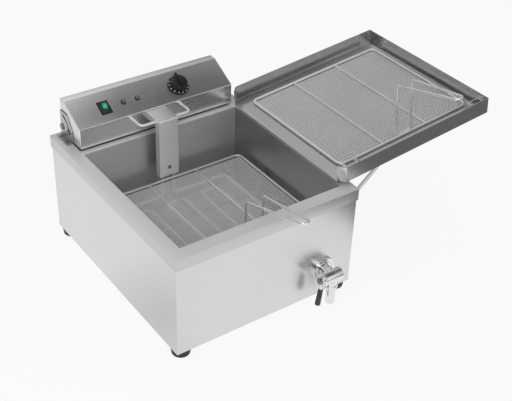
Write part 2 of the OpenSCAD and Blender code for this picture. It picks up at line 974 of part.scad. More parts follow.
module floor_screws() {
    color("gray") {
        floor_holes(floor_screw_d, 2 * head_sheet + floor_cap_t, head_rear - 2 * head_sheet);
        floor_holes(floor_cap_d, floor_cap_t, head_rear);
    }
}

// The bent channel that hides the risers
module cover_solid(inset, open_end) {
    y_low = cover_y + inset;
    y_side = cover_y + cover_side + open_end;
    z_top = cover_z - inset;
    z_side = cover_z - cover_side - open_end;
    y_end = inner_front + open_end;
    r = cover_bend - inset;
    w = cover_w - 2 * inset;
    translate([mid_x - w / 2, 0, 0])
        rotate([90, 0, 90])
            linear_extrude(w) {
                difference() {
                    polygon([
                        [y_low, cover_low - open_end], [y_side, cover_low - open_end], [y_side, z_side],
                        [y_end, z_side], [y_end, z_top], [y_low, z_top]
                    ]);
                    translate([y_low, z_top - r])
                        square([r, r + over]);
                }
                translate([y_low + r, z_top - r])
                    circle(r = r);
            }
}

module riser_cover() {
    color("silver")
        difference() {
            cover_solid(0, 0);
            cover_solid(cover_sheet, over);
            translate([mid_x, cover_y - over, clamp_z])
                along_y(cover_screw_d + 2 * fit, cover_sheet + 2 * over);
        }
}

module cover_screw() {
    color("gray")
        translate([mid_x, cover_y - cover_cap_t, clamp_z]) {
            along_y(cover_cap_d, cover_cap_t);
            along_y(cover_screw_d, clamp_y + clamp_t - cover_y + cover_cap_t);
        }
}

module riser_clamp() {
    color("gray")
        difference() {
            translate([mid_x - clamp_w / 2, clamp_y, clamp_z - clamp_h / 2])
                cube([clamp_w, clamp_t, clamp_h]);
            translate([mid_x, clamp_y - over, clamp_z])
                along_y(cover_screw_d + 2 * fit, clamp_t + 2 * over);
        }
}

// Two bent rods, each fixed to the head and to one side of the cover
module lift_loop() {
    front = head_front - loop_reach;
    color("silver")
        for (side = [-1, 1])
            wire([[mid_x + side * loop_w / 2, head_front, loop_z], [mid_x + side * loop_w / 2, front, loop_z],
                [mid_x + side * cover_w / 2, front, loop_z]], loop_d, loop_bend);
}

module element_flange() {
    color("gray")
        difference() {
            translate([mid_x - flange_w / 2, inner_front, flange_low])
                cube([flange_w, flange_t, flange_top - flange_low]);
            for (x = [-riser_gap / 2, riser_gap / 2])
                translate([mid_x + x, inner_front - over, riser_top])
                    along_y(tube_d + 2 * fit, flange_t + 2 * over);
            translate([cap_x, inner_front - over, riser_top])
                along_y(cap_d + 2 * ease, flange_t + 2 * over);
        }
}

// Route of the element: down one riser, across, to and fro, and up the other riser
function run_x(i) = mid_x - element_w / 2 + i * run_gap;
function run_points(i) = i % 2 == 0
    ? [[run_x(i), i == 0 ? riser_y : run_rear, element_z], [run_x(i), run_front, element_z]]
    : [[run_x(i), run_front, element_z], [run_x(i), i == element_runs - 1 ? riser_y : run_rear, element_z]];
function riser_points(side) = [
    [mid_x + side * riser_gap / 2, inner_front + flange_t + terminal_len, riser_top],
    [mid_x + side * riser_gap / 2, riser_y, riser_top],
    [mid_x + side * riser_gap / 2, riser_y, element_z]
];
function reversed(list) = [for (i = [len(list) - 1 : -1 : 0]) list[i]];
element_path = concat(
    riser_points(-1),
    [for (i = [0 : element_runs - 1]) each run_points(i)],
    reversed(riser_points(1))
);

module heating_element() {
    color("dimgray")
        wire(element_path, tube_d, tube_bend);
}

// Flat strips under the element, turned up at both ends to carry the grid
module grid_rests() {
    color("silver")
        for (share = rest_shares)
            translate([grid_x, run_front + share * (run_rear - run_front) - rest_w / 2, rest_low]) {
                translate([-rest_half - rest_t / 2, 0, 0])
                    cube([2 * rest_half + rest_t, rest_w, rest_t]);
                for (x = [-rest_half, rest_half])
                    translate([x - rest_t / 2, 0, 0])
                        cube([rest_t, rest_w, grid_z - frame_d / 2 - ease - rest_low]);
            }
}

module capillary() {
    start = [knob_x - thermo_w / 2, thermo_y, thermo_z];
    color("peru") {
        wire([start, [cap_x, thermo_y, thermo_z], [cap_x, thermo_y, riser_top], [cap_x, riser_y, riser_top],
            [cap_x, riser_y, bulb_z], [cap_x, riser_y - 3 * cap_bend, bulb_z]], cap_d, cap_bend);
        translate([cap_x, riser_y - 2 * cap_bend - bulb_len, bulb_z])
            along_y(bulb_d, bulb_len);
    }
}

// Controls on the panel

// Middle of the thermostat's housing, where the capillary leaves it
thermo_deep = head_sheet + thermo_t / 2;
thermo_y = head_front + panel_row * cos(panel_slope) + thermo_deep * sin(panel_slope);
thermo_z = head_fold_z + panel_row * sin(panel_slope) - thermo_deep * cos(panel_slope);

module thermostat_body() {
    color("lightgray")
        on_panel(knob_x, panel_row)
            difference() {
                union() {
                    translate([-thermo_w / 2, -thermo_l / 2, -head_sheet - thermo_t])
                        cube([thermo_w, thermo_l, thermo_t]);
                    translate([0, 0, -head_sheet])
                        cylinder(d = bush_d, h = head_sheet);
                }
                translate([0, 0, -head_sheet - bush_len])
                    cylinder(d = shaft_d + 2 * fit, h = head_sheet + bush_len + over);
            }
}

module thermostat_shaft() {
    color("gray")
        on_panel(knob_x, panel_row)
            translate([0, 0, -head_sheet - bush_len + ease])
                cylinder(d = shaft_d, h = head_sheet + bush_len - ease + knob_gap + knob_socket);
}

module thermostat_knob() {
    color("dimgray")
        on_panel(knob_x, panel_row)
            translate([0, 0, knob_gap])
                difference() {
                    union() {
                        cylinder(d = knob_d, h = knob_skirt_t);
                        cylinder(d = knob_grip_d, h = knob_h - knob_bar_t);
                        translate([-knob_bar_w / 2, -knob_grip_d / 2, 0])
                            cube([knob_bar_w, (knob_grip_d + knob_d) / 2, knob_h]);
                    }
                    translate([0, 0, -over])
                        cylinder(d = shaft_d + 2 * fit, h = knob_socket + ease + over);
                }
}

module power_switch() {
    color("dimgray")
        on_panel(switch_x, panel_row)
            difference() {
                union() {
                    translate([-switch_w / 2, -switch_l / 2, 0])
                        cube([switch_w, switch_l, switch_lip]);
                    translate([-switch_hole_w / 2, -switch_hole_l / 2, -switch_deep])
                        cube([switch_hole_w, switch_hole_l, switch_deep]);
                }
                translate([-rocker_w / 2 - ease, -rocker_l / 2 - over, switch_lip - rocker_pocket])
                    cube([rocker_w + 2 * ease, rocker_l + 2 * over, rocker_pocket + over]);
                translate([-rocker_w / 2 - rocker_side, 0, switch_lip - rocker_deep])
                    along_x(rocker_pin_d + 2 * fit, rocker_w + 2 * rocker_side);
            }
}

// A shallow vee that rocks on a pin across its middle
module power_rocker() {
    half = rocker_l / 2;
    color("mediumseagreen")
        on_panel(switch_x, panel_row)
            translate([0, 0, switch_lip - rocker_deep])
                rotate([rocker_tilt, 0, 0]) {
                    translate([-rocker_w / 2, 0, 0])
                        rotate([90, 0, 90])
                            linear_extrude(rocker_w)
                                polygon([
                                    [-half, rocker_deep + rocker_rise / 2], [0, rocker_deep - rocker_valley],
                                    [half, rocker_deep + rocker_rise / 2], [half, rocker_valley],
                                    [0, -rocker_rise], [-half, rocker_valley]
                                ]);
                    translate([-rocker_w / 2 - rocker_side + ease, 0, 0])
                        along_x(rocker_pin_d, rocker_w + 2 * rocker_side - 2 * ease);
                }
}

module lamp_rings() {
    color("dimgray")
        for (x = [green_x, clear_x])
            on_panel(x, panel_row)
                difference() {
                    union() {
                        cylinder(d = lamp_d, h = lamp_lip);
                        translate([0, 0, -lamp_deep])
                            cylinder(d = lamp_hole_d, h = lamp_deep);
                    }
                    translate([0, 0, lamp_lip - lens_deep])
                        cylinder(d = lens_d + 2 * fit, h = lens_deep + over);
                }
}

// A lens with a domed top, seated in its ring
module lens(x) {
    dome_r = (pow(lens_d / 2, 2) + pow(lens_rise, 2)) / (2 * lens_rise);
    on_panel(x, panel_row)
        translate([0, 0, lamp_lip - lens_deep]) {
            cylinder(d = lens_d, h = lens_deep);
            translate([0, 0, lens_deep])
                intersection() {
                    translate([0, 0, lens_rise - dome_r])
                        sphere(r = dome_r);
                    cylinder(d = lens_d, h = lens_rise);
                }
        }
}

module green_lens() {
    color("seagreen")
        lens(green_x);
}

module clear_lens() {
    color("beige")
        lens(clear_x);
}

// Pieces inside the head and on its rear

module safety_cutout() {
    color("lightgray")
        translate([cutout_x - cutout_w / 2, rear_row - cutout_l / 2, floor_z])
            cube([cutout_w, cutout_l, cutout_t]);
}

module terminal_block() {
    pitch = block_w / block_slots;
    color("lightgray")
        translate([block_x - block_w / 2, rear_row - block_l / 2, floor_z])
            difference() {
                cube([block_w, block_l, block_t]);
                for (i = [0 : block_slots - 1])
                    translate([(i + 0.5) * pitch - block_slot_w / 2, -over, block_t - block_slot_deep])
                        cube([block_slot_w, block_l + 2 * over, block_slot_deep + over]);
            }
}

// Switch that opens when the head is tilted up; its plunger stands on the rim
module tilt_switch() {
    color("dimgray")
        translate([sense_x, rear_row, 0]) {
            slab(sense_w, -sense_l / 2, floor_z, sense_l, sense_t);
            translate([0, 0, rim_z + ease])
                cylinder(d = plunger_d, h = floor_z - rim_z - ease);
        }
}

module cable_gland() {
    color("dimgray")
        translate([gland_x, head_rear, gland_z])
            difference() {
                union() {
                    rotate([-90, 0, 0])
                        cylinder(d = gland_d, h = gland_hex_t, $fn = 6);
                    along_y(gland_thread_d, gland_len);
                    translate([0, -head_sheet - gland_nut_t, 0])
                        along_y(gland_thread_d, head_sheet + gland_nut_t);
                    translate([0, -head_sheet - gland_nut_t, 0])
                        rotate([-90, 0, 0])
                            cylinder(d = gland_d, h = gland_nut_t, $fn = 6);
                }
                translate([0, -head_sheet - gland_nut_t - over, 0])
                    along_y(gland_bore, gland_len + head_sheet + gland_nut_t + 2 * over);
            }
}

// Fry grids, drawn around the middle of the frame wire

module grid_frame() {
    x = (grid_w - frame_d) / 2;
    y = (grid_d - frame_d) / 2;
    color("silver") {
        wire([[-x, -y, 0], [x, -y, 0], [x, y, 0], [-x, y, 0]], frame_d, grid_corner, closed = true);
        for (side = [-1, 1])
            translate([side * grid_w * stiffener_share, -y, stiffener_z])
                along_y(stiffener_d, 2 * y);
    }
}

module grid_mesh() {
    gap_w = (mesh_w - 2 * mesh_edge - (mesh_columns - 1) * mesh_bar) / mesh_columns;
    gap_d = (mesh_d - 2 * mesh_edge - (mesh_rows - 1) * mesh_bar) / mesh_rows;
    color("lightgray")
        translate([0, 0, mesh_low])
            linear_extrude(mesh_t)
                difference() {
                    rounded(mesh_w, mesh_d, grid_corner - mesh_inset + frame_d / 2);
                    for (i = [0 : mesh_columns - 1], j = [0 : mesh_rows - 1])
                        translate([mesh_edge - mesh_w / 2 + i * (gap_w + mesh_bar),
                            mesh_edge - mesh_d / 2 + j * (gap_d + mesh_bar)])
                            square([gap_w, gap_d]);
                }
}

// One closed loop of wire: a foot behind the frame, two uprights and two arms that draw together
module grid_handle() {
    x = handle_w / 2;
    top = handle_z + handle_h;
    tip = [handle_tip / 2, handle_y - handle_reach, top + handle_rise];
    color("silver")
        wire([[-x, handle_y, handle_z], [x, handle_y, handle_z], [x, handle_y, top], tip,
            [-tip[0], tip[1], tip[2]], [-x, handle_y, top]], handle_d, handle_bend, closed = true);
}

module tank_grid_frame() {
    in_tank()
        grid_frame();
}

module tank_grid_mesh() {
    in_tank()
        grid_mesh();
}

module tank_grid_handle() {
    in_tank()
        grid_handle();
}

module lid_grid_frame() {
    on_tray()
        grid_frame();
}

module lid_grid_mesh() {
    on_tray()
        grid_mesh();
}

module lid_grid_handle() {
    on_tray()
        grid_handle();
}

// Lid tray: walls on three sides, the fourth side open over the tank

module lid_tray() {
    miter = lid_sheet * sqrt(2);
    color("silver") {
        on_lid() {
            difference() {
                linear_extrude(lid_wall)
                    polygon([[lid_cut, 0], [lid_w, 0], [lid_w, lid_d], [lid_cut, lid_d],
                        [0, lid_d - lid_cut], [0, lid_cut]]);
                translate([0, 0, lid_sheet])
                    linear_extrude(lid_wall)
                        polygon([
                            [lid_cut + miter - lid_sheet, lid_sheet], [lid_w - lid_sheet, lid_sheet],
                            [lid_w - lid_sheet, lid_d - lid_sheet],
                            [lid_cut + miter - lid_sheet, lid_d - lid_sheet],
                            [-over, lid_d - lid_cut - miter - over], [-over, lid_cut + miter + over]
                        ]);
            }
            for (x = [tab_inset, lid_w - tab_inset - tab_w])
                translate([x, 0, lid_wall - lid_sheet])
                    difference() {
                        cube([tab_w, tab_l, lid_sheet]);
                        translate([(tab_w - tab_slot_w) / 2, (tab_l - tab_slot_l) / 2, -over])
                            cube([tab_slot_w, tab_slot_l, lid_sheet + 2 * over]);
                    }
        }
        lid_rest();
    }
}

// A hem under the floor that stands flat on the rim
module lid_rest() {
    difference() {
        on_lid()
            translate([lid_rest_x, lid_rest_inset, -2 * lid_lift])
                cube([lid_rest_w, lid_d - 2 * lid_rest_inset, 2 * lid_lift + lid_sheet]);
        translate([0, lid_y - over, 0])
            cube([rim_w, lid_d + 2 * over, rim_z + ease / 2]);
    }
}

module bail_clips() {
    color("silver")
        for (y = [bail_front - lid_y - stub_len, bail_rear - lid_y + stub_len - clip_l])
            on_lid()
                translate([bail_x - clip_w / 2, y, -2 * bail_drop])
                    difference() {
                        cube([clip_w, clip_l, 2 * bail_drop]);
                        translate([clip_w / 2, -over, bail_drop])
                            along_y(bail_d + 2 * fit, clip_l + 2 * over);
                    }
}

module prop_bail() {
    color("silver")
        wire([
            [bail_px, bail_front - stub_len, bail_pz], [bail_px, bail_front, bail_pz],
            [bail_end_x, bail_front, bail_end_z], [bail_end_x, bail_rear, bail_end_z],
            [bail_px, bail_rear, bail_pz], [bail_px, bail_rear + stub_len, bail_pz]
        ], bail_d, bail_bend);
}

// The frame: the middle of the front left foot's tread, behind its pocket, is the origin
module in_frame() {
    translate([foot_x, foot_y - tread_r, 0])
        children();
}

in_frame() cabinet_shell();
in_frame() base_plate();
in_frame() tank();
in_frame() feet();
in_frame() foot_screws();
in_frame() foot_nuts();
in_frame() drain_pipe();
in_frame() drain_collar();
in_frame() tap_body();
in_frame() tap_bonnet();
in_frame() tap_spout();
in_frame() tap_plug();
in_frame() tap_lever();
in_frame() tap_grip();
in_frame() tap_nut();
in_frame() tilt_brackets();
in_frame() bracket_screws();
in_frame() pivot_pins();
in_frame() head_shell();
in_frame() head_floor();
in_frame() floor_screws();
in_frame() slot_pins();
in_frame() riser_cover();
in_frame() cover_screw();
in_frame() riser_clamp();
in_frame() lift_loop();
in_frame() element_flange();
in_frame() heating_element();
in_frame() grid_rests();
in_frame() capillary();
in_frame() thermostat_body();
in_frame() thermostat_shaft();
in_frame() thermostat_knob();
in_frame() power_switch();
in_frame() power_rocker();
in_frame() lamp_rings();
in_frame() green_lens();
in_frame() clear_lens();
in_frame() safety_cutout();
in_frame() terminal_block();
in_frame() tilt_switch();
in_frame() cable_gland();
in_frame() tank_grid_frame();
in_frame() tank_grid_mesh();
in_frame() tank_grid_handle();
in_frame() lid_tray();
in_frame() bail_clips();
in_frame() prop_bail();
in_frame() lid_grid_frame();
in_frame() lid_grid_mesh();
in_frame() lid_grid_handle();
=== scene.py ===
"""Looks of a counter-top doughnut fryer.

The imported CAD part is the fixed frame. Sheet metal, wire goods, the tap and the controls are
modelled again over it with folds, bends, fine mesh and brushed finishes.
"""
import logging
import math
from contextlib import contextmanager
from dataclasses import dataclass
from enum import Enum
from typing import Callable, Iterator, Sequence

import bmesh
import bpy
from mathutils import Matrix, Vector


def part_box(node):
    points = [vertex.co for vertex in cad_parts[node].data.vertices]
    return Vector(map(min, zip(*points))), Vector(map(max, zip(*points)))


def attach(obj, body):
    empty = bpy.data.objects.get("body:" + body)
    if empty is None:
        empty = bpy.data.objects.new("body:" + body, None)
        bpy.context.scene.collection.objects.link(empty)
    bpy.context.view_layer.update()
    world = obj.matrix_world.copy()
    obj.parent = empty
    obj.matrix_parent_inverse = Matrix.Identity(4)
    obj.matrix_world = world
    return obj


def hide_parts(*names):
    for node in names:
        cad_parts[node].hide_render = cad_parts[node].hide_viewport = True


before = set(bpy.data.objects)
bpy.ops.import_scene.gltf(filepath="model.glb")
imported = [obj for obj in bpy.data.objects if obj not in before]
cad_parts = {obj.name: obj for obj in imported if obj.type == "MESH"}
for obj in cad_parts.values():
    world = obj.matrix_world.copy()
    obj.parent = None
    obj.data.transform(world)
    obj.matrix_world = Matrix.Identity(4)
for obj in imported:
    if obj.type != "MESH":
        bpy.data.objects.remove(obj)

logging.basicConfig(level=logging.INFO, format="%(name)s: %(message)s")
log = logging.getLogger("fryer")

Colour = tuple[float, ...]
Inputs = dict[str | int, object]
Piece = bpy.types.Object
Point = Sequence[float]
Socket = bpy.types.NodeSocket
Test = Callable[[Vector, Vector], bool]

MM = 0.001
SAME = 1e-5  # places closer than this, in metres, are one place
MERGE = 1e-6  # corners closer than this, in metres, are merged
SQUARE = 0.9  # part of a unit normal or direction that counts as lying along an axis
STRAIGHT = 1e-3  # turns smaller than this, in radians, are no bends
BEND_STEPS = 6
NOISE_SPAN = (0.3, 0.7)  # where most values of a noise lie
TANK_GRID_AT = (-3.0, -51.5, 154.0)  # middle of the grid in the tank, in millimetres
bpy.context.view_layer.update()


def at(x: float, y: float, z: float) -> Vector:
    """Turns millimetres into a point in metres."""
    return Vector((x, y, z)) * MM


def grey(level: float, warm: float) -> Colour:
    """Gives the linear colour of a picture grey.

    Args:
        level: picture level from 0 to 255.
        warm: share added to red and taken from blue.

    Returns:
        A linear RGB colour.
    """
    value = ((level / 255 + 0.055) / 1.055) ** 2.4
    return (value * (1 + warm), value, value * (1 - warm))


def plain(level: float) -> Colour:
    """Gives a linear grey with full alpha."""
    return (level, level, level, 1.0)


def under_cabinet() -> Vector:
    """Finds the floor point under the middle of the cabinet, where all places here are taken from."""
    low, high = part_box("cabinet_shell")
    return Vector(((low.x + high.x) / 2, (low.y + high.y) / 2, 0.0))


MIDDLE = under_cabinet()


class Wiring:
    """Adds shader nodes to a tree and links them."""

    def __init__(self, tree: bpy.types.NodeTree) -> None:
        """Keeps the tree that the nodes go into."""
        self.tree = tree

    def feed(self, node: bpy.types.Node, inputs: Inputs) -> None:
        """Links the inputs that are given a socket, and sets the others.

        Args:
            node: the node to feed.
            inputs: a socket or a value for each named input.
        """
        for key, value in inputs.items():
            if isinstance(value, Socket):
                self.tree.links.new(value, node.inputs[key])
            else:
                node.inputs[key].default_value = value

    def node(self, kind: str, inputs: Inputs | None = None, **settings: object) -> bpy.types.Node:
        """Adds one node.

        Args:
            kind: the node's type without its common prefix.
            inputs: a socket or a value for each named input.
            settings: the node's own settings.

        Returns:
            The new node.
        """
        node = self.tree.nodes.new(f"ShaderNode{kind}")
        for key, value in settings.items():
            setattr(node, key, value)
        self.feed(node, inputs or {})
        return node

    def out(self, kind: str, socket: str, inputs: Inputs | None = None, **settings: object) -> Socket:
        """Adds one node and gives the named output of it."""
        return self.node(kind, inputs, **settings).outputs[socket]

    def reckon(self, operation: str, first: object, second: object) -> Socket:
        """Works out one value from two sockets or numbers."""
        return self.out("Math", "Value", {0: first, 1: second}, operation=operation)

    def span(self, value: Socket, start: float, end: float, low: float = 0.0, high: float = 1.0,
             **settings: object) -> Socket:
        """Maps the range from start to end of a value onto low to high."""
        return self.out("MapRange", "Result", {"Value": value, "From Min": start, "From Max": end,
                                               "To Min": low, "To Max": high}, **settings)

    def blend(self, share: object, first: object, second: object) -> Socket:
        """Blends two colours by a share."""
        return self.out("Mix", "Result", {"Factor": share, "A": first, "B": second}, data_type="RGBA")

    def ball(self, place: Socket, centre: Point, reach: Point) -> Socket:
        """Gives a soft ball, 1 at its centre and 0 at its reach along each axis."""
        spot = self.out("Mapping", "Vector", {"Vector": place, "Location": centre, "Scale": reach},
                        vector_type="TEXTURE")
        return self.out("TexGradient", "Fac", {"Vector": spot}, gradient_type="SPHERICAL")

    def ramp(self, value: Socket, stops: Sequence[tuple[float, Colour]]) -> Socket:
        """Turns a value into colours.

        Args:
            value: the value from 0 to 1.
            stops: place and linear RGB colour of each stop, in order.

        Returns:
            The colour.
        """
        node = self.node("ValToRGB", {"Fac": value})
        elements = node.color_ramp.elements
        for place, _ in stops[1:-1]:
            elements.new(place)
        for element, (place, colour) in zip(elements, stops):
            element.position, element.color = place, (*colour, 1.0)
        return node.outputs["Color"]

    def show(self, output: str, share: Socket, first: Socket, second: Socket) -> None:
        """Mixes two shaders by a share and links them to the tree's output."""
        mix = self.out("MixShader", "Shader", {"Fac": share, 1: first, 2: second})
        self.node(output, {"Surface": mix})

    def surface(self, shader: bpy.types.Node, tone: Socket, colours: tuple[Colour, Colour],
                roughness: tuple[float, float], height: Socket, strength: float, depth: float) -> None:
        """Feeds a shader's colour, roughness and bump from two patterns.

        Args:
            shader: the material's shader.
            tone: pattern of colour and roughness.
            colours: linear RGB colours at the pattern's two ends.
            roughness: roughness at the two ends of where most of the pattern lies.
            height: pattern of the bump.
            strength: strength of the bump.
            depth: depth of the bump in metres.
        """
        dark, light = ((*colour, 1.0) for colour in colours)
        bump = {"Strength": strength, "Distance": depth, "Height": height}
        self.feed(shader, {"Base Color": self.blend(tone, dark, light),
                           "Roughness": self.span(tone, *NOISE_SPAN, *roughness),
                           "Normal": self.out("Bump", "Normal", bump)})


class Grain(Enum):
    """Direction of a sheet's brushing, as noise scales along X, Y and Z."""

    LEVEL = (2.5, 2.5, 520.0)
    ALONG_X = (2.5, 520.0, 520.0)
    ALONG_Y = (520.0, 2.5, 520.0)
    UPRIGHT = (520.0, 520.0, 2.5)
    FINE = (900.0, 900.0, 900.0)


class Finish:
    """A finish whose material is wired when it is first worn."""

    name: str

    def make(self) -> bpy.types.Material:
        """Builds the node material once.

        Returns:
            The material.
        """
        if self.name not in bpy.data.materials:
            mat = bpy.data.materials.new(self.name)
            mat.use_nodes = True
            self.wire(Wiring(mat.node_tree), mat.node_tree.nodes["Principled BSDF"])
        return bpy.data.materials[self.name]

    def wire(self, net: Wiring, shader: bpy.types.Node) -> None:
        """Links the finish's patterns to the shader."""
        raise NotImplementedError


@dataclass(frozen=True)
class Steel(Finish):
    """A stainless sheet or wire: brushed lines, cloudy handling marks and a metal shader."""

    name: str
    tone: float
    roughness: float
    grain: Grain
    brush: float = 0.05
    cloud: float = 0.06
    warm: float = 0.004
    metal: float = 1.0
    relief: float = 0.08

    def wire(self, net: Wiring, shader: bpy.types.Node) -> None:
        """Links the brushed lines and the clouds to the shader.

        Args:
            net: the material's nodes.
            shader: its shader.
        """
        place = net.out("TexCoord", "Object")
        drawn = net.out("Mapping", "Vector", {"Vector": place, "Scale": self.grain.value})
        lines = net.out("TexNoise", "Fac", {"Vector": drawn, "Scale": 1.0, "Detail": 5.0, "Roughness": 0.65})
        clouds = net.out("TexNoise", "Fac", {"Vector": place, "Scale": 7.0, "Detail": 3.0})
        share = self.cloud / (self.cloud + self.brush)
        tone = net.out("Mix", "Result", {"Factor": share, "A": lines, "B": clouds})
        spread = self.brush + self.cloud / 2
        dark, light = (tuple(min(1.0, c * gain) for c in grey(self.tone, self.warm))
                       for gain in (1 - spread, 1 + spread))
        net.feed(shader, {"Metallic": self.metal})
        net.surface(shader, tone, (dark, light), (self.roughness - 0.05, self.roughness + 0.07),
                    lines, self.relief, 0.4 * MM)


@dataclass(frozen=True)
class Moulded(Finish):
    """A moulded plastic or rubber with a fine pebble, dust in its pores and a soft gloss."""

    name: str
    colour: Colour
    roughness: float
    pebble: float = 900.0
    depth: float = 0.12
    glow: float = 0.0

    def wire(self, net: Wiring, shader: bpy.types.Node) -> None:
        """Links the pebble and the dusty patches to the shader.

        Args:
            net: the material's nodes.
            shader: its shader.
        """
        place = net.out("TexCoord", "Object")
        pebble = net.out("TexNoise", "Fac", {"Vector": place, "Scale": self.pebble, "Detail": 3.0})
        patches = net.out("TexNoise", "Fac", {"Vector": place, "Scale": 60.0})
        dark = tuple(c * 0.82 for c in self.colour)
        dusty = tuple(min(1.0, c * 1.22 + 0.004) for c in self.colour)
        net.surface(shader, patches, (dark, dusty),
                    (max(0.02, self.roughness - 0.08), min(1.0, self.roughness + 0.08)),
                    pebble, self.depth, 0.3 * MM)
        if self.glow:
            net.feed(shader, {"Emission Color": (*self.colour, 1.0), "Emission Strength": self.glow})


@dataclass(frozen=True)
class LitRocker(Finish):
    """The rocker's tinted plastic, brightest where the lamp sits behind it."""

    name: str
    centre: tuple[float, float, float]
    reach: float
    stretch: float = 1.25
    edge: Colour = (0.004, 0.028, 0.018)
    core: Colour = (0.075, 0.42, 0.22)
    glow: float = 0.55

    def wire(self, net: Wiring, shader: bpy.types.Node) -> None:
        """Links the lamp's glow to the shader.

        Args:
            net: the material's nodes.
            shader: its shader.
        """
        long = self.reach * self.stretch
        lamp = net.ball(net.out("TexCoord", "Object"), self.centre, (self.reach, long, long))
        colour = net.ramp(lamp, ((0.08, self.edge), (0.85, self.core)))
        net.feed(shader, {"Base Color": colour, "Roughness": 0.18,
                          "Emission Color": colour, "Emission Strength": self.glow})


CABINET_STEEL = Steel("cabinet_steel", 220, 0.28, Grain.LEVEL, brush=0.03, relief=0.03)
TANK_STEEL = Steel("tank_steel", 214, 0.42, Grain.LEVEL, brush=0.03)
# Darker copy of the tank sheet for the tank's side walls: painted shade.
TANK_SIDE_PAINTED_SHADE_STEEL = Steel("tank_side_painted_shade_steel", 178, 0.38, Grain.LEVEL, brush=0.03)
# Darker, more mirror-like copy of the rim for the strip under the head: painted shade.
UNDER_HEAD_PAINTED_SHADE_STEEL = Steel("under_head_painted_shade_steel", 186, 0.2, Grain.LEVEL, brush=0.03, relief=0.03)
# Lighter, mostly non-metal copy of the tank sheet for the rim's top faces: painted light.
RIM_PAINTED_LIGHT_STEEL = Steel("rim_painted_light_steel", 226, 0.36, Grain.LEVEL, brush=0.04, metal=0.3, relief=0.03)
# Darker copy of the tank sheet for the turned-down skirt: painted shade.
SKIRT_PAINTED_SHADE_STEEL = Steel("skirt_painted_shade_steel", 212, 0.34, Grain.LEVEL, brush=0.03, metal=0.8, relief=0.03)
HEAD_STEEL = Steel("head_steel", 242, 0.26, Grain.ALONG_X, brush=0.03, relief=0.05)
# The head's end faces: upright grain, and a darker tone than the front as painted shade.
HEAD_END_PAINTED_SHADE_STEEL = Steel("head_end_painted_shade_steel", 222, 0.30, Grain.UPRIGHT, brush=0.03, relief=0.05)
LID_STEEL = Steel("lid_steel", 208, 0.20, Grain.ALONG_X, brush=0.03)
COVER_STEEL = Steel("cover_steel", 252, 0.50, Grain.UPRIGHT, metal=0.8)
# The cover's top faces: grain along Y, and a darker copy of the cover's steel as painted shade.
COVER_TOP_PAINTED_SHADE_STEEL = Steel("cover_top_painted_shade_steel", 214, 0.42, Grain.ALONG_Y)
BRACKET_STEEL = Steel("bracket_steel", 190, 0.35, Grain.FINE)
WIRE_STEEL = Steel("wire_steel", 252, 0.35, Grain.FINE, brush=0.03, metal=0.5)
BAR_STEEL = Steel("bar_steel", 244, 0.40, Grain.FINE, brush=0.03, metal=0.5)
# Darker, fully metal copy of the wire finish for the grid down in the tank: painted shade.
SUNK_WIRE_PAINTED_SHADE_STEEL = Steel("sunk_wire_painted_shade_steel", 226, 0.38, Grain.FINE, brush=0.03)
GRIP_STEEL = Steel("grip_steel", 252, 0.26, Grain.FINE, brush=0.03, metal=0.85)
NET_STEEL = Steel("net_steel", 252, 0.38, Grain.FINE, brush=0.03, metal=0.4)
TUBE_STEEL = Steel("element_steel", 250, 0.36, Grain.FINE, brush=0.06, cloud=0.12, metal=0.6)
SCREW_STEEL = Steel("screw_steel", 140, 0.30, Grain.FINE)
TAP_CHROME = Steel("tap_chrome", 232, 0.13, Grain.FINE, brush=0.01, cloud=0.04)
PLUG_BRASS = Steel("plug_brass", 190, 0.30, Grain.FINE, warm=0.35)
CAPILLARY_STEEL = Steel("capillary_steel", 160, 0.32, Grain.FINE)
RUBBER = Moulded("foot_rubber", (0.012, 0.012, 0.013), 0.55)
SLEEVE = Moulded("lever_sleeve", (0.055, 0.055, 0.058), 0.5)
KNOB_BLACK = Moulded("knob_black", (0.012, 0.012, 0.013), 0.36)
FRAME_BLACK = Moulded("switch_black", (0.010, 0.011, 0.011), 0.40)
MARK_WHITE = Moulded("dial_white", (0.80, 0.80, 0.78), 0.5)
GREY_PLASTIC = Moulded("inner_grey", (0.42, 0.42, 0.40), 0.5)
GREEN_GLASS = Moulded("green_glass", (0.04, 0.17, 0.10), 0.12, depth=0.02, glow=0.12)
CLEAR_GLASS = Moulded("clear_glass", (0.20, 0.17, 0.13), 0.12, depth=0.02)


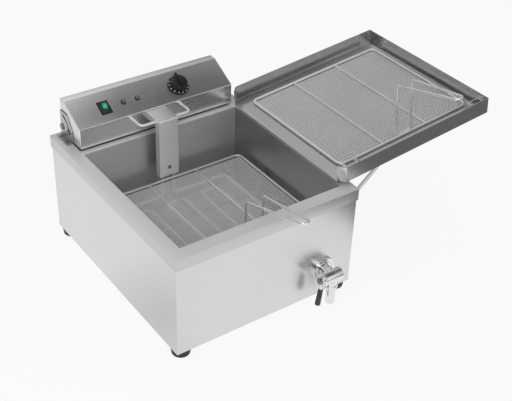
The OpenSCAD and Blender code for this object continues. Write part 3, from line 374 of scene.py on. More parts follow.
class Bench:
    """Hand tools that add or shape a mesh with Blender's operators.

    Points are in metres. Radii, widths and other single lengths are in millimetres.
    """

    @staticmethod
    def clear() -> None:
        """Leaves edit mode and deselects everything."""
        if bpy.context.object and bpy.context.object.mode != "OBJECT":
            bpy.ops.object.mode_set(mode="OBJECT")
        bpy.ops.object.select_all(action="DESELECT")

    @staticmethod
    def take(obj: Piece) -> None:
        """Makes one object the only selected and active one.

        Args:
            obj: the object.
        """
        Bench.clear()
        obj.select_set(True)
        bpy.context.view_layer.objects.active = obj

    @staticmethod
    def node_box(node: str) -> tuple[Vector, Vector]:
        """Gives a CAD node's lowest and highest corners, seen from under the cabinet's middle."""
        low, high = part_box(node)
        return low - MIDDLE, high - MIDDLE

    @staticmethod
    def settle(obj: Piece, name: str) -> Piece:
        """Names an object and moves its place into its mesh.

        Args:
            obj: the object.
            name: its name from here on.

        Returns:
            The same object.
        """
        Bench.take(obj)
        bpy.ops.object.transform_apply(location=True, rotation=True, scale=True)
        obj.name = obj.data.name = name
        return obj

    @staticmethod
    def box(name: str, low: Point, high: Point) -> Piece:
        """Adds a box.

        Args:
            name: the object's name.
            low: its lowest corner.
            high: its highest corner.

        Returns:
            The new object.
        """
        Bench.clear()
        low, high = Vector(low), Vector(high)
        bpy.ops.mesh.primitive_cube_add(size=1, location=(low + high) / 2)
        bpy.context.object.scale = high - low
        return Bench.settle(bpy.context.object, name)

    @staticmethod
    def drum(name: str, start: Point, end: Point, radius: float, sides: int = 48,
             end_radius: float | None = None) -> Piece:
        """Adds a cylinder or cone frustum between two points.

        Args:
            name: the object's name.
            start: centre of the first end.
            end: centre of the other end.
            radius: radius at the start.
            sides: number of side faces.
            end_radius: radius at the end, if it differs.

        Returns:
            The new object.
        """
        Bench.clear()
        start, end = Vector(start), Vector(end)
        run = end - start
        far = radius if end_radius is None else end_radius
        bpy.ops.mesh.primitive_cone_add(vertices=sides, radius1=radius * MM, radius2=far * MM,
                                        depth=run.length)
        obj = bpy.context.object
        obj.rotation_mode = "QUATERNION"
        obj.rotation_quaternion = run.to_track_quat("Z", "Y")
        obj.location = (start + end) / 2
        return Bench.settle(obj, name)

    @staticmethod
    def outline(name: str, points: Sequence[Point]) -> Piece:
        """Adds one flat face.

        Args:
            name: the object's name.
            points: the face's corners in order.

        Returns:
            The new object.
        """
        Bench.clear()
        bpy.ops.mesh.primitive_circle_add(vertices=len(points), fill_type="NGON")
        obj = bpy.context.object
        for index, point in zip(obj.data.polygons[0].vertices, points):
            obj.data.vertices[index].co = Vector(point)
        return Bench.settle(obj, name)

    @staticmethod
    def prism(name: str, points: Sequence[Point], width: float) -> Piece:
        """Draws a flat face out along X and closes both ends.

        Args:
            name: the object's name.
            points: the corners of the first end, all at one X.
            width: length along X in metres.

        Returns:
            The new object.
        """
        obj = Bench.outline(name, points)
        start = points[0][0]
        with Bench.editing(obj) as mesh:
            Bench.pick_faces(mesh, lambda c, n: True)
            Bench.draw_out((width, 0, 0))
        Bench.outward(obj)
        if len(obj.data.polygons) < len(points) + 2:
            with Bench.editing(obj, "EDGE") as mesh:
                Bench.pick_edges(mesh, lambda c, d: abs(c.x - start) < MERGE)
                bpy.ops.mesh.edge_face_add()
            Bench.outward(obj)
        return obj

    @staticmethod
    @contextmanager
    def editing(obj: Piece, mode: str = "FACE") -> Iterator[bmesh.types.BMesh]:
        """Opens an object in edit mode with nothing selected.

        Args:
            obj: the object to edit.
            mode: VERT, EDGE or FACE selection.

        Returns:
            A context that gives the edit mesh.
        """
        Bench.take(obj)
        bpy.ops.object.mode_set(mode="EDIT")
        bpy.ops.mesh.select_mode(type=mode)
        bpy.ops.mesh.select_all(action="DESELECT")
        try:
            yield bmesh.from_edit_mesh(obj.data)
        finally:
            bpy.ops.object.mode_set(mode="OBJECT")

    @staticmethod
    def pick_faces(mesh: bmesh.types.BMesh, test: Test) -> None:
        """Selects the faces whose centre and normal pass a test.

        Args:
            mesh: the edit mesh.
            test: the test.
        """
        for face in mesh.faces:
            face.select_set(test(face.calc_center_median(), face.normal))
        mesh.select_flush_mode()

    @staticmethod
    def pick_edges(mesh: bmesh.types.BMesh, test: Test) -> None:
        """Selects the edges whose middle and direction pass a test.

        Args:
            mesh: the edit mesh.
            test: the test.
        """
        for edge in mesh.edges:
            a, b = (v.co for v in edge.verts)
            edge.select_set(test((a + b) / 2, (b - a).normalized()))
        mesh.select_flush_mode()

    @staticmethod
    def draw_out(move: Point) -> None:
        """Extrudes what is selected by a move in metres."""
        bpy.ops.mesh.extrude_region_move(TRANSFORM_OT_translate={"value": move})

    @staticmethod
    def draw_edges(obj: Piece, test: Test, height: float) -> None:
        """Turns a wall up or down from the edges that pass a test.

        Args:
            obj: the object to shape.
            test: tells by middle and direction whether an edge is taken.
            height: height of the wall in metres, less than 0 for down.
        """
        with Bench.editing(obj, "EDGE") as mesh:
            Bench.pick_edges(mesh, test)
            Bench.draw_out((0, 0, height))

    @staticmethod
    def open_faces(obj: Piece, test: Test) -> None:
        """Deletes the faces that pass a test.

        Args:
            obj: the object to shape.
            test: tells by centre and normal whether a face is taken.
        """
        with Bench.editing(obj) as mesh:
            Bench.pick_faces(mesh, test)
            bpy.ops.mesh.delete(type="FACE")

    @staticmethod
    def round_edges(obj: Piece, test: Test, width: float, segments: int) -> None:
        """Bevels the edges that pass a test.

        Args:
            obj: the object to shape.
            test: tells by middle and direction whether an edge is taken.
            width: width of the bevel.
            segments: number of its faces.
        """
        with Bench.editing(obj, "EDGE") as mesh:
            Bench.pick_edges(mesh, test)
            bpy.ops.mesh.bevel(offset=width * MM, segments=segments, affect="EDGES")

    @staticmethod
    def recess(obj: Piece, test: Test, *steps: tuple[float, Point]) -> None:
        """Insets the faces that pass a test and moves what is inside, step by step.

        Args:
            obj: the object to shape.
            test: tells by centre and normal whether a face is taken.
            steps: width of the ring and move of what is inside it, all in millimetres.
        """
        with Bench.editing(obj) as mesh:
            Bench.pick_faces(mesh, test)
            for ring, move in steps:
                bpy.ops.mesh.inset(thickness=ring * MM)
                Bench.draw_out(at(*move))

    @staticmethod
    def taper(obj: Piece, x: float, y: float) -> None:
        """Draws in the top face.

        Args:
            obj: the object to shape.
            x: share that is left of the face's width.
            y: share that is left of its depth.
        """
        with Bench.editing(obj) as mesh:
            Bench.pick_faces(mesh, lambda c, n: n.z > SQUARE)
            bpy.ops.transform.resize(value=(x, y, 1))

    @staticmethod
    def modify(obj: Piece, kind: str, **values: object) -> Piece:
        """Adds one modifier and applies it.

        Args:
            obj: the object to change.
            kind: the modifier's type.
            values: its settings.

        Returns:
            The same object.
        """
        Bench.take(obj)
        modifier = obj.modifiers.new(kind.lower(), kind)
        for key, value in values.items():
            setattr(modifier, key, value)
        bpy.ops.object.modifier_apply(modifier=modifier.name)
        return obj

    @staticmethod
    def thicken(obj: Piece, sheet: float) -> None:
        """Gives a surface the thickness of its sheet, inwards."""
        Bench.modify(obj, "SOLIDIFY", thickness=sheet * MM, offset=-1.0)

    @staticmethod
    def soften(obj: Piece, width: float, segments: int = 2, angle: float = 35) -> Piece:
        """Bevels every edge sharper than an angle in degrees."""
        return Bench.modify(obj, "BEVEL", width=width * MM, segments=segments, limit_method="ANGLE",
                            angle_limit=math.radians(angle), harden_normals=False)

    @staticmethod
    def cut(obj: Piece, cutter: Piece, operation: str = "DIFFERENCE") -> None:
        """Takes a cutter away from an object, or joins or crosses the two, and removes the cutter."""
        Bench.modify(obj, "BOOLEAN", object=cutter, solver="EXACT", operation=operation)
        bpy.data.objects.remove(cutter)

    @staticmethod
    def join(name: str, parts: Sequence[Piece]) -> Piece:
        """Joins several meshes into one piece.

        Args:
            name: the piece's name.
            parts: the objects to join.

        Returns:
            The piece.
        """
        Bench.take(parts[0])
        for part in parts:
            part.select_set(True)
        bpy.ops.object.join()
        return Bench.settle(bpy.context.object, name)

    @staticmethod
    def copy(obj: Piece, name: str) -> Piece:
        """Copies an object together with its mesh.

        Args:
            obj: the object to copy.
            name: the copy's name.

        Returns:
            The copy.
        """
        twin = obj.copy()
        twin.data = obj.data.copy()
        bpy.context.scene.collection.objects.link(twin)
        twin.name = name
        return twin

    @staticmethod
    def place(obj: Piece, matrix: Matrix) -> Piece:
        """Moves a piece by a matrix, into its mesh."""
        obj.matrix_world = matrix
        return Bench.settle(obj, obj.name)

    @staticmethod
    def outward(obj: Piece) -> Piece:
        """Merges doubles and turns all faces outwards.

        Args:
            obj: the object to mend.

        Returns:
            The same object.
        """
        with Bench.editing(obj, "VERT"):
            bpy.ops.mesh.select_all(action="SELECT")
            bpy.ops.mesh.remove_doubles(threshold=MERGE)
            bpy.ops.mesh.normals_make_consistent(inside=False)
        return obj

    @staticmethod
    def face_sheet(obj: Piece, side: int) -> None:
        """Makes the faces of an open sheet agree.

        Args:
            obj: the sheet.
            side: 1 turns its highest face up, -1 turns its lowest face down.
        """
        Bench.outward(obj)
        outer = max(obj.data.polygons, key=lambda face: face.center.z * side)
        if outer.normal.z * side < 0:
            with Bench.editing(obj):
                bpy.ops.mesh.select_all(action="SELECT")
                bpy.ops.mesh.flip_normals()

    @staticmethod
    def tube(name: str, path: Sequence[Point], radius: float, bend: float = 1.0, closed: bool = False,
             sides: int = 10) -> Piece:
        """Bends a round bar: a circle is drawn out along the straights and spun round the corners.

        Args:
            name: the object's name.
            path: corner points.
            radius: radius of the bar.
            bend: bend radius at the corners.
            closed: whether the bar forms a ring.
            sides: sides of the bar's section.

        Returns:
            The new object.
        """
        points = [Vector(p) for p in path]
        if closed:
            seam = (points[-1] + points[0]) / 2
            points = [seam, *points, seam]
        bend *= MM
        Bench.clear()
        aim = (points[1] - points[0]).to_track_quat("Z", "Y")
        bpy.ops.mesh.primitive_circle_add(vertices=sides, radius=radius * MM, location=points[0],
                                          rotation=aim.to_euler())
        obj = Bench.settle(bpy.context.object, name)
        with Bench.editing(obj, "VERT"):
            bpy.ops.mesh.select_all(action="SELECT")
            here = points[0]
            for before, corner, after in zip(points, points[1:], points[2:]):
                u, v = (corner - before).normalized(), (after - corner).normalized()
                sweep = u.angle(v)
                back = bend * math.tan(sweep / 2)
                knee = corner - u * back
                Bench.draw_out(knee - here)
                if sweep > STRAIGHT:
                    axis = u.cross(v).normalized()
                    bpy.ops.mesh.spin(steps=BEND_STEPS, angle=sweep, axis=-axis,
                                      center=knee + axis.cross(u) * bend)
                here = corner + v * back
            Bench.draw_out(points[-1] - here)
            bpy.ops.mesh.select_all(action="SELECT")
            bpy.ops.mesh.remove_doubles(threshold=MERGE)
            bpy.ops.mesh.select_all(action="DESELECT")
            bpy.ops.mesh.select_non_manifold()
            bpy.ops.mesh.fill_holes(sides=0)
        return Bench.outward(obj)

    @staticmethod
    def dress(obj: Piece, finish: Finish, body: str, slot: str, *nodes: str, smooth: float = 38) -> None:
        """Gives a finished piece its material and its body, and hides the nodes it stands for.

        Args:
            obj: the finished piece.
            finish: the finish to wear.
            body: the CAD body to ride on.
            slot: not used.
            nodes: CAD nodes that the piece replaces.
            smooth: angle in degrees up to which faces shade smoothly.
        """
        Bench.place(obj, Matrix.Translation(MIDDLE))
        bpy.ops.object.shade_smooth_by_angle(angle=math.radians(smooth))
        obj.data.materials.clear()
        obj.data.materials.append(finish.make())
        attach(obj, body)
        if nodes:
            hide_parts(*nodes)
        log.info("%s on %s: %d faces", obj.name, body, len(obj.data.polygons))

    @staticmethod
    def refinish(obj: Piece, finish: Finish, test: Test) -> None:
        """Gives some faces of a dressed piece a finish of their own.

        Args:
            obj: the dressed piece.
            finish: the finish of those faces.
            test: tells by centre and normal whether a face takes it.
        """
        obj.data.materials.append(finish.make())
        last = len(obj.data.materials) - 1
        for face in obj.data.polygons:
            if test(face.center, face.normal):
                face.material_index = last


@dataclass
class Cabinet:
    """The welded cabinet, its tank with the turned-down rim, and the feet. Sizes in millimetres."""

    wall: float = 1.2
    fold: float = 2.2
    tank_sheet: float = 1.5
    tank_fold: float = 1.0
    tank_x: float = 189.0
    tank_front: float = -227.0
    tank_rear: float = 148.0
    under_head: float = 164.0
    tank_floor: float = 56.0
    skirt: float = 27.0
    rim_band: float = 1.2
    drain: tuple[float, float] = (137.0, 82.0)
    drain_depth: tuple[float, float, float] = (-270.0, -240.0, -215.0)
    shell_hole: float = 11.5
    tank_hole: float = 7.5
    foot_top: float = 21.0
    foot_tread: float = 18.5
    foot_ring: float = 11.0
    foot_hollow: float = 9.0
    tread_round: float = 2.6
    top_round: float = 0.8

    def shell(self) -> None:
        """Folds the cabinet walls from one open box."""
        obj = Bench.box("cabinet_walls", *Bench.node_box("cabinet_shell"))
        Bench.open_faces(obj, lambda c, n: abs(n.z) > SQUARE)
        Bench.round_edges(obj, lambda c, d: abs(d.z) > SQUARE, self.fold, 4)
        Bench.thicken(obj, self.wall)
        self._drill(obj, *self.drain_depth[:2], self.shell_hole)
        Bench.dress(obj, CABINET_STEEL, "cabinet", "brushed_sheet", "cabinet_shell")

    def _drill(self, obj: Piece, front: float, rear: float, radius: float) -> None:
        """Drills the drain hole through a front wall."""
        x, z = self.drain
        Bench.cut(obj, Bench.drum("hole", at(x, front, z), at(x, rear, z), radius))

    def tank(self) -> None:
        """Draws the tank from a flat rim: a well pressed down inside, a skirt turned down outside."""
        low, high = Bench.node_box("tank")
        side, front, rear, under, floor = (v * MM for v in (
            self.tank_x, self.tank_front, self.tank_rear, self.under_head, self.tank_floor))
        Bench.clear()
        bpy.ops.mesh.primitive_grid_add(x_subdivisions=3, y_subdivisions=4, size=2)
        obj = bpy.context.object
        xs, ys = [low.x, -side, side, high.x], [low.y, front, rear, under, high.y]
        for vert in obj.data.vertices:
            column, row = round((vert.co.x + 1) * 1.5), round((vert.co.y + 1) * 2)
            vert.co = (xs[column], ys[row], high.z)
        Bench.settle(obj, "tank_and_rim")
        with Bench.editing(obj) as mesh:
            Bench.pick_faces(mesh, lambda c, n: abs(c.x) < side and front < c.y < rear)
            Bench.draw_out((0, 0, floor - high.z))

        def on_edge(c: Vector) -> bool:
            """Tells whether a point lies on the rim's outer edge."""
            return abs(abs(c.x) - high.x) < SAME or abs(abs(c.y) - high.y) < SAME

        def on_well(c: Vector) -> bool:
            """Tells whether a point lies on the edge of the well."""
            return (abs(abs(c.x) - side) < SAME and front < c.y < rear) or (
                abs(c.x) < side and min(abs(c.y - front), abs(c.y - rear)) < SAME)

        Bench.draw_edges(obj, lambda c, d: abs(c.z - high.z) < SAME and on_edge(c), -self.skirt * MM)
        Bench.face_sheet(obj, 1)
        Bench.round_edges(obj, lambda c, d: abs(d.z) > SQUARE or abs(c.z - floor) < SAME or (
            abs(c.z - high.z) < SAME and (on_edge(c) or on_well(c))), self.tank_fold, 3)
        Bench.thicken(obj, self.tank_sheet)
        self._drill(obj, *self.drain_depth[1:], self.tank_hole)
        Bench.dress(obj, TANK_STEEL, "cabinet", "tank_sheet", "tank")
        self._finish_rim(obj)

    def _finish_rim(self, obj: Piece) -> None:
        """Gives the rim's top a lighter finish as painted light, and its skirt, the strip under the head and
        the tank's sides darker finishes as painted shade.

        Args:
            obj: the dressed tank.
        """
        low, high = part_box("tank")
        near, top = 2 * self.tank_sheet * MM, high.z - self.rim_band * MM
        rear, side = MIDDLE.y + self.under_head * MM, self.tank_x * MM
        # Painted shade on the skirt, the strip under the head and the tank's sides; painted light on the
        # rim's top.
        Bench.refinish(obj, SKIRT_PAINTED_SHADE_STEEL, lambda c, n: min(
            c.x - low.x, high.x - c.x, c.y - low.y, high.y - c.y) < near)
        Bench.refinish(obj, RIM_PAINTED_LIGHT_STEEL, lambda c, n: c.z > top)
        Bench.refinish(obj, UNDER_HEAD_PAINTED_SHADE_STEEL, lambda c, n: c.z > top and c.y > rear and (
            abs(c.x - MIDDLE.x) < side))
        Bench.refinish(obj, TANK_SIDE_PAINTED_SHADE_STEEL, lambda c, n: c.z < top and abs(n.x) > SQUARE and (
            abs(abs(c.x - MIDDLE.x) - side) < near))

    def feet(self) -> None:
        """Turns one rubber foot with a rounded tread and copies it to the four corners."""
        low, high = Bench.node_box("feet")
        top, tread = self.foot_top * MM, self.foot_tread * MM
        foot = Bench.drum("foot", (0, 0, 0), (0, 0, high.z), self.foot_tread, 56, self.foot_top)
        Bench.recess(foot, lambda c, n: n.z < -SQUARE, (self.foot_ring, (0, 0, self.foot_hollow)))
        Bench.round_edges(foot, lambda c, d: c.z < SAME and c.xy.length > tread * SQUARE, self.tread_round, 4)
        Bench.round_edges(foot, lambda c, d: c.z > high.z - SAME and c.xy.length > top * SQUARE,
                          self.top_round, 2)
        places = [(x, y) for x in (low.x + top, high.x - top) for y in (low.y + top, high.y - top)]
        twins = [Bench.place(Bench.copy(foot, f"foot_{i}"), Matrix.Translation((*place, 0)))
                 for i, place in enumerate(places)]
        bpy.data.objects.remove(foot)
        Bench.dress(Bench.join("rubber_feet", twins), RUBBER, "cabinet", "black_rubber", "feet")

    def build(self) -> None:
        """Builds all pieces of the cabinet."""
        for make in (self.shell, self.tank, self.feet):
            make()


@dataclass
class DrainTap:
    """The plug tap at the lower right of the front. Sizes in millimetres."""

    x: float = 137.0
    y: float = -286.0
    z: float = 82.0
    front: float = -254.0
    collar_r: float = 27.0
    collar_len: float = 6.0
    collar_steps: tuple[tuple[float, float], ...] = ((7.0, 1.6), (2.5, -1.2))
    barrel_r: float = 14.0
    barrel_len: float = 40.0
    inlet_r: float = 13.4
    inlet_gap: float = 7.0
    outlet_r: float = 12.0
    outlet_len: float = 20.0
    end_ring: float = 3.0
    end_sink: float = 0.8
    cap_len: float = 4.0
    hex_r: float = 14.5
    hex_len: float = 9.0
    chamfer_r: float = 13.9
    spout_r: float = 10.0
    spout_wall: float = 3.0
    spout_low: float = 16.0
    spout_bore: float = 34.0
    hub_r: float = 9.0
    hub_half: float = 2.5
    hub_gap: float = 0.05
    rod_r: float = 2.5
    rod_start: float = 5.0
    rod_knee: float = 18.0
    rod_drop: float = 40.0
    rod_bend: float = 30.0
    lean: float = math.tan(math.radians(8))
    sleeve_len: float = 37.0
    sleeve_over: float = 2.5
    sleeve_r: tuple[float, float] = (5.2, 6.0)
    sleeve_round: float = 2.2
    nut_r: float = 7.5
    nut_len: float = 5.0

    def spot(self, dx: float = 0.0, dz: float = 0.0) -> Vector:
        """Gives a point beside or over the middle of the tap's barrel."""
        return at(self.x + dx, self.y, self.z + dz)

    @staticmethod
    def fit(obj: Piece, *nodes: str) -> None:
        """Dresses a fixed piece of the tap."""
        Bench.dress(obj, TAP_CHROME, "cabinet", "tap_metal", *nodes)

    def collar(self) -> None:
        """Turns the stepped collar that stands against the cabinet."""
        ring = Bench.drum("drain_collar_ring", at(self.x, self.front, self.z),
                          at(self.x, self.front - self.collar_len, self.z), self.collar_r, 64)
        Bench.recess(ring, lambda c, n: n.y < -SQUARE,
                     *((width, (0, sink, 0)) for width, sink in self.collar_steps))
        self.fit(Bench.soften(ring, 0.9, 3), "drain_collar")

    def casting(self) -> None:
        """Joins barrel, inlet and outlet into one casting and caps its left end."""
        half = self.barrel_len / 2
        barrel = Bench.drum("tap_casting", self.spot(-half), self.spot(half), self.barrel_r, 56)
        inlet_end = at(self.x, self.front - self.inlet_gap, self.z)
        Bench.cut(barrel, Bench.drum("inlet", self.spot(), inlet_end, self.inlet_r), "UNION")
        outlet_end = self.spot(dz=-self.outlet_len)
        Bench.cut(barrel, Bench.drum("outlet", self.spot(), outlet_end, self.outlet_r), "UNION")
        Bench.recess(barrel, lambda c, n: n.x > SQUARE and c.x > (self.x + half - 1) * MM,
                     (self.end_ring, (-self.end_sink, 0, 0)))
        self.fit(Bench.soften(barrel, 0.9, 3, 50), "tap_body")
        cap = Bench.drum("tap_bonnet_ring", self.spot(-half), self.spot(-half - self.cap_len),
                         self.barrel_r, 56)
        self.fit(Bench.soften(cap, 1.1, 3), "tap_bonnet")

    def spout(self) -> None:
        """Makes the spout: a chamfered hexagon over a hollow tube."""
        top = -self.outlet_len
        low = top - self.hex_len
        nut = Bench.drum("tap_spout_tube", self.spot(dz=low), self.spot(dz=top), self.hex_r, 6)
        chamfer = Bench.drum("chamfer", self.spot(dz=low - 2), self.spot(dz=top + 2), self.chamfer_r, 64)
        Bench.cut(nut, chamfer, "INTERSECT")
        Bench.soften(nut, 0.6, 2, 25)
        tube = Bench.drum("tube", at(self.x, self.y, self.spout_low), self.spot(dz=low + 0.5), self.spout_r)
        Bench.recess(tube, lambda c, n: n.z < -SQUARE, (self.spout_wall, (0, 0, self.spout_bore)))
        Bench.soften(tube, 0.7, 3)
        self.fit(Bench.join("tap_spout_tube", [nut, tube]), "tap_spout")

    def lever(self) -> None:
        """Bends the lever rod from its hub, slips the sleeve over it and screws the hub on."""
        hub = -self.barrel_len / 2 - self.cap_len - self.hub_half - self.hub_gap
        left, right = hub - self.hub_half, hub + self.hub_half
        knee = self.spot(hub, -self.rod_knee)
        end = knee + at(-self.rod_drop * self.lean, 0, -self.rod_drop)
        disc = Bench.drum("tap_lever_rod", self.spot(right), self.spot(left), self.hub_r)
        Bench.soften(disc, 0.8, 3)
        rod = Bench.tube("rod", [self.spot(hub, -self.rod_start), knee, end], self.rod_r, self.rod_bend)
        lever = Bench.join("tap_lever_rod", [disc, rod])
        Bench.dress(lever, TAP_CHROME, "tap_valve", "tap_metal", "tap_lever")
        along = (end - knee).normalized()
        tip = end + along * self.sleeve_over * MM
        start_r, end_r = self.sleeve_r
        sleeve = Bench.drum("tap_lever_sleeve", tip - along * self.sleeve_len * MM, tip, start_r, 40, end_r)
        Bench.round_edges(sleeve, lambda c, d: (c - tip).dot(along) > -SAME and abs(d.dot(along)) < SQUARE,
                          self.sleeve_round, 4)
        Bench.soften(sleeve, 0.5, 2, 50)
        Bench.dress(sleeve, SLEEVE, "tap_valve", "black_rubber", "tap_grip")
        nut = Bench.drum("tap_lever_nut", self.spot(left), self.spot(left - self.nut_len), self.nut_r, 6)
        Bench.dress(Bench.soften(nut, 0.7, 2, 25), SCREW_STEEL, "tap_valve", "fastener", "tap_nut")

    def build(self) -> None:
        """Builds all pieces of the tap."""
        for make in (self.collar, self.casting, self.spout, self.lever):
            make()


@dataclass
class ControlHead:
    """The tilting head with the riser cover, the lift loop and the element. Sizes in millimetres."""

    front: float = 163.0
    low: float = 256.0
    fold_z: float = 302.0
    fold_y: float = 231.0
    top: float = 337.0
    rear: float = 250.0
    sheet: float = 1.2
    fold: float = 0.9
    mid: float = -7.0
    slot_gap: float = 0.4
    cover_y: float = 110.0
    cover_z: float = 299.0
    cover_low: float = 159.0
    cover_side: float = 15.0
    cover_w: float = 48.0
    cover_bend: float = 4.0
    cover_fold: float = 1.6
    cover_top: float = 0.8
    screw_r: float = 4.0
    screw_head: float = 2.0
    shank_r: float = 2.0
    notch: tuple[float, float, float] = (2.6, 0.5, 0.9)
    loop_r: float = 3.25
    loop_bend: float = 9.0
    loop_half: float = 61.0
    loop_out: float = 41.0
    loop_z: float = 294.0
    tube_r: float = 4.0
    tube_bend: float = 12.0
    tube_z: float = 102.0
    tube_end: float = 189.2
    riser: tuple[float, float] = (117.7, 291.3)
    riser_half: float = 14.0
    runs: int = 8
    run_gap: float = 43.0
    run_front: float = -185.0
    run_rear: float = 87.7

    def fit(self, obj: Piece, finish: Finish, slot: str, *nodes: str) -> None:
        """Dresses a piece that tilts with the head."""
        Bench.dress(obj, finish, "control_head", slot, *nodes)

    def shell(self) -> None:
        """Folds the head's sheet along its side outline and cuts the slot for the riser cover."""
        low, high = Bench.node_box("head_shell")
        side = [(low.x, y * MM, z * MM) for y, z in (
            (self.front, self.low), (self.rear, self.low), (self.rear, self.top),
            (self.fold_y, self.top), (self.front, self.fold_z))]
        obj = Bench.prism("head_housing", side, high.x - low.x)
        Bench.open_faces(obj, lambda c, n: n.z < -SQUARE)
        Bench.round_edges(obj, lambda c, d: c.z > (self.low + 1) * MM, self.fold, 4)
        Bench.thicken(obj, self.sheet)
        gap, half = self.slot_gap, self.cover_w / 2 + self.slot_gap
        Bench.cut(obj, Bench.box(
            "slot", at(self.mid - half, self.front - 3, self.cover_z - self.cover_side - gap),
            at(self.mid + half, self.front + 3, self.cover_z + gap)))
        self.fit(obj, HEAD_STEEL, "brushed_sheet", "head_shell")
        # The end faces take a darker copy of the head's steel: painted shade.
        Bench.refinish(obj, HEAD_END_PAINTED_SHADE_STEEL, lambda c, n: abs(n.x) > SQUARE)

    def cover(self) -> None:
        """Bends the channel over the risers, with a round nose at its top."""
        y0, z0, side, bend = self.cover_y, self.cover_z, self.cover_side, self.cover_bend
        rear = self.front + self.sheet
        turns = [math.radians(a) for a in range(0, 91, 15)]
        nose = [(y0 + bend * (1 - math.sin(a)), z0 - bend * (1 - math.cos(a))) for a in turns]
        points = [(rear, z0 - side), (rear, z0), *nose, (y0, self.cover_low),
                  (y0 + side, self.cover_low), (y0 + side, z0 - side)]
        left = (self.mid - self.cover_w / 2) * MM
        obj = Bench.prism("riser_channel", [(left, y * MM, z * MM) for y, z in points], self.cover_w * MM)
        open_y, open_z = ((y0 + side) * MM, rear * MM), ((z0 - side) * MM, self.cover_low * MM)
        Bench.open_faces(obj, lambda c, n: abs(n.x) < SQUARE and (
            any(abs(c.y - y) < SAME for y in open_y) or any(abs(c.z - z) < SAME for z in open_z)))
        Bench.round_edges(obj, lambda c, d: abs(d.x) < SQUARE and (
            abs(c.y - y0 * MM) < SAME or abs(c.z - z0 * MM) < SAME
            or (c.y < (y0 + bend) * MM and c.z > (z0 - bend) * MM)), self.cover_fold, 3)
        Bench.thicken(obj, self.sheet)
        self.fit(obj, COVER_STEEL, "brushed_sheet", "riser_cover")
        # Painted shade: the top faces take the darker copy of the cover's steel.
        Bench.refinish(obj, COVER_TOP_PAINTED_SHADE_STEEL, lambda c, n: n.z > self.cover_top)

    def cover_screw(self) -> None:
        """Turns the cover's screw and cuts the cross into its head."""
        low, high = Bench.node_box("cover_screw")
        face = Vector(((low.x + high.x) / 2, low.y, (low.z + high.z) / 2))
        screw = Bench.drum("cover_screw_head", face + at(0, self.screw_head, 0), face, self.screw_r, 32)
        long, short, deep = self.notch
        for x, z in ((long, short), (short, long)):
            Bench.cut(screw, Bench.box("notch", face - at(x, 1, z), face + at(x, deep, z)))
        Bench.soften(screw, 0.5, 2, 60)
        shank = Bench.drum("shank", face + at(0, self.screw_head - 0.1, 0), (face.x, high.y, face.z),
                           self.shank_r, 20)
        self.fit(Bench.join("cover_screw_head", [screw, shank]), SCREW_STEEL, "fastener", "cover_screw")

    def loop(self) -> None:
        """Bends the two halves of the lift loop."""
        front, z = self.front - self.loop_out, self.loop_z
        parts = []
        for side in (-1, 1):
            x, inner = self.mid + side * self.loop_half, self.mid + side * self.cover_w / 2
            path = [at(x, self.front, z), at(x, front, z), at(inner, front, z)]
            parts.append(Bench.tube(f"loop_{side}", path, self.loop_r, self.loop_bend))
        self.fit(Bench.join("lift_loop_rods", parts), WIRE_STEEL, "bright_wire", "lift_loop")

    def element(self) -> None:
        """Bends the heating tube: down one riser, to and fro, and up the other."""
        riser_y, riser_z = self.riser
        z, left, right = self.tube_z, self.mid - self.riser_half, self.mid + self.riser_half
        start = self.mid - self.run_gap * (self.runs - 1) / 2
        path = [(left, self.tube_end, riser_z), (left, riser_y, riser_z), (left, riser_y, z)]
        for i in range(self.runs):
            x = start + i * self.run_gap
            back = riser_y if i in (0, self.runs - 1) else self.run_rear
            ends = [(x, back, z), (x, self.run_front, z)]
            path += ends if i % 2 == 0 else ends[::-1]
        path += [(right, riser_y, z), (right, riser_y, riser_z), (right, self.tube_end, riser_z)]
        tube = Bench.tube("heating_tube", [at(*p) for p in path], self.tube_r, self.tube_bend)
        self.fit(tube, TUBE_STEEL, "element_tube", "heating_element")

    def build(self) -> None:
        """Builds all pieces of the head."""
        for make in (self.shell, self.cover, self.cover_screw, self.loop, self.element):
            make()


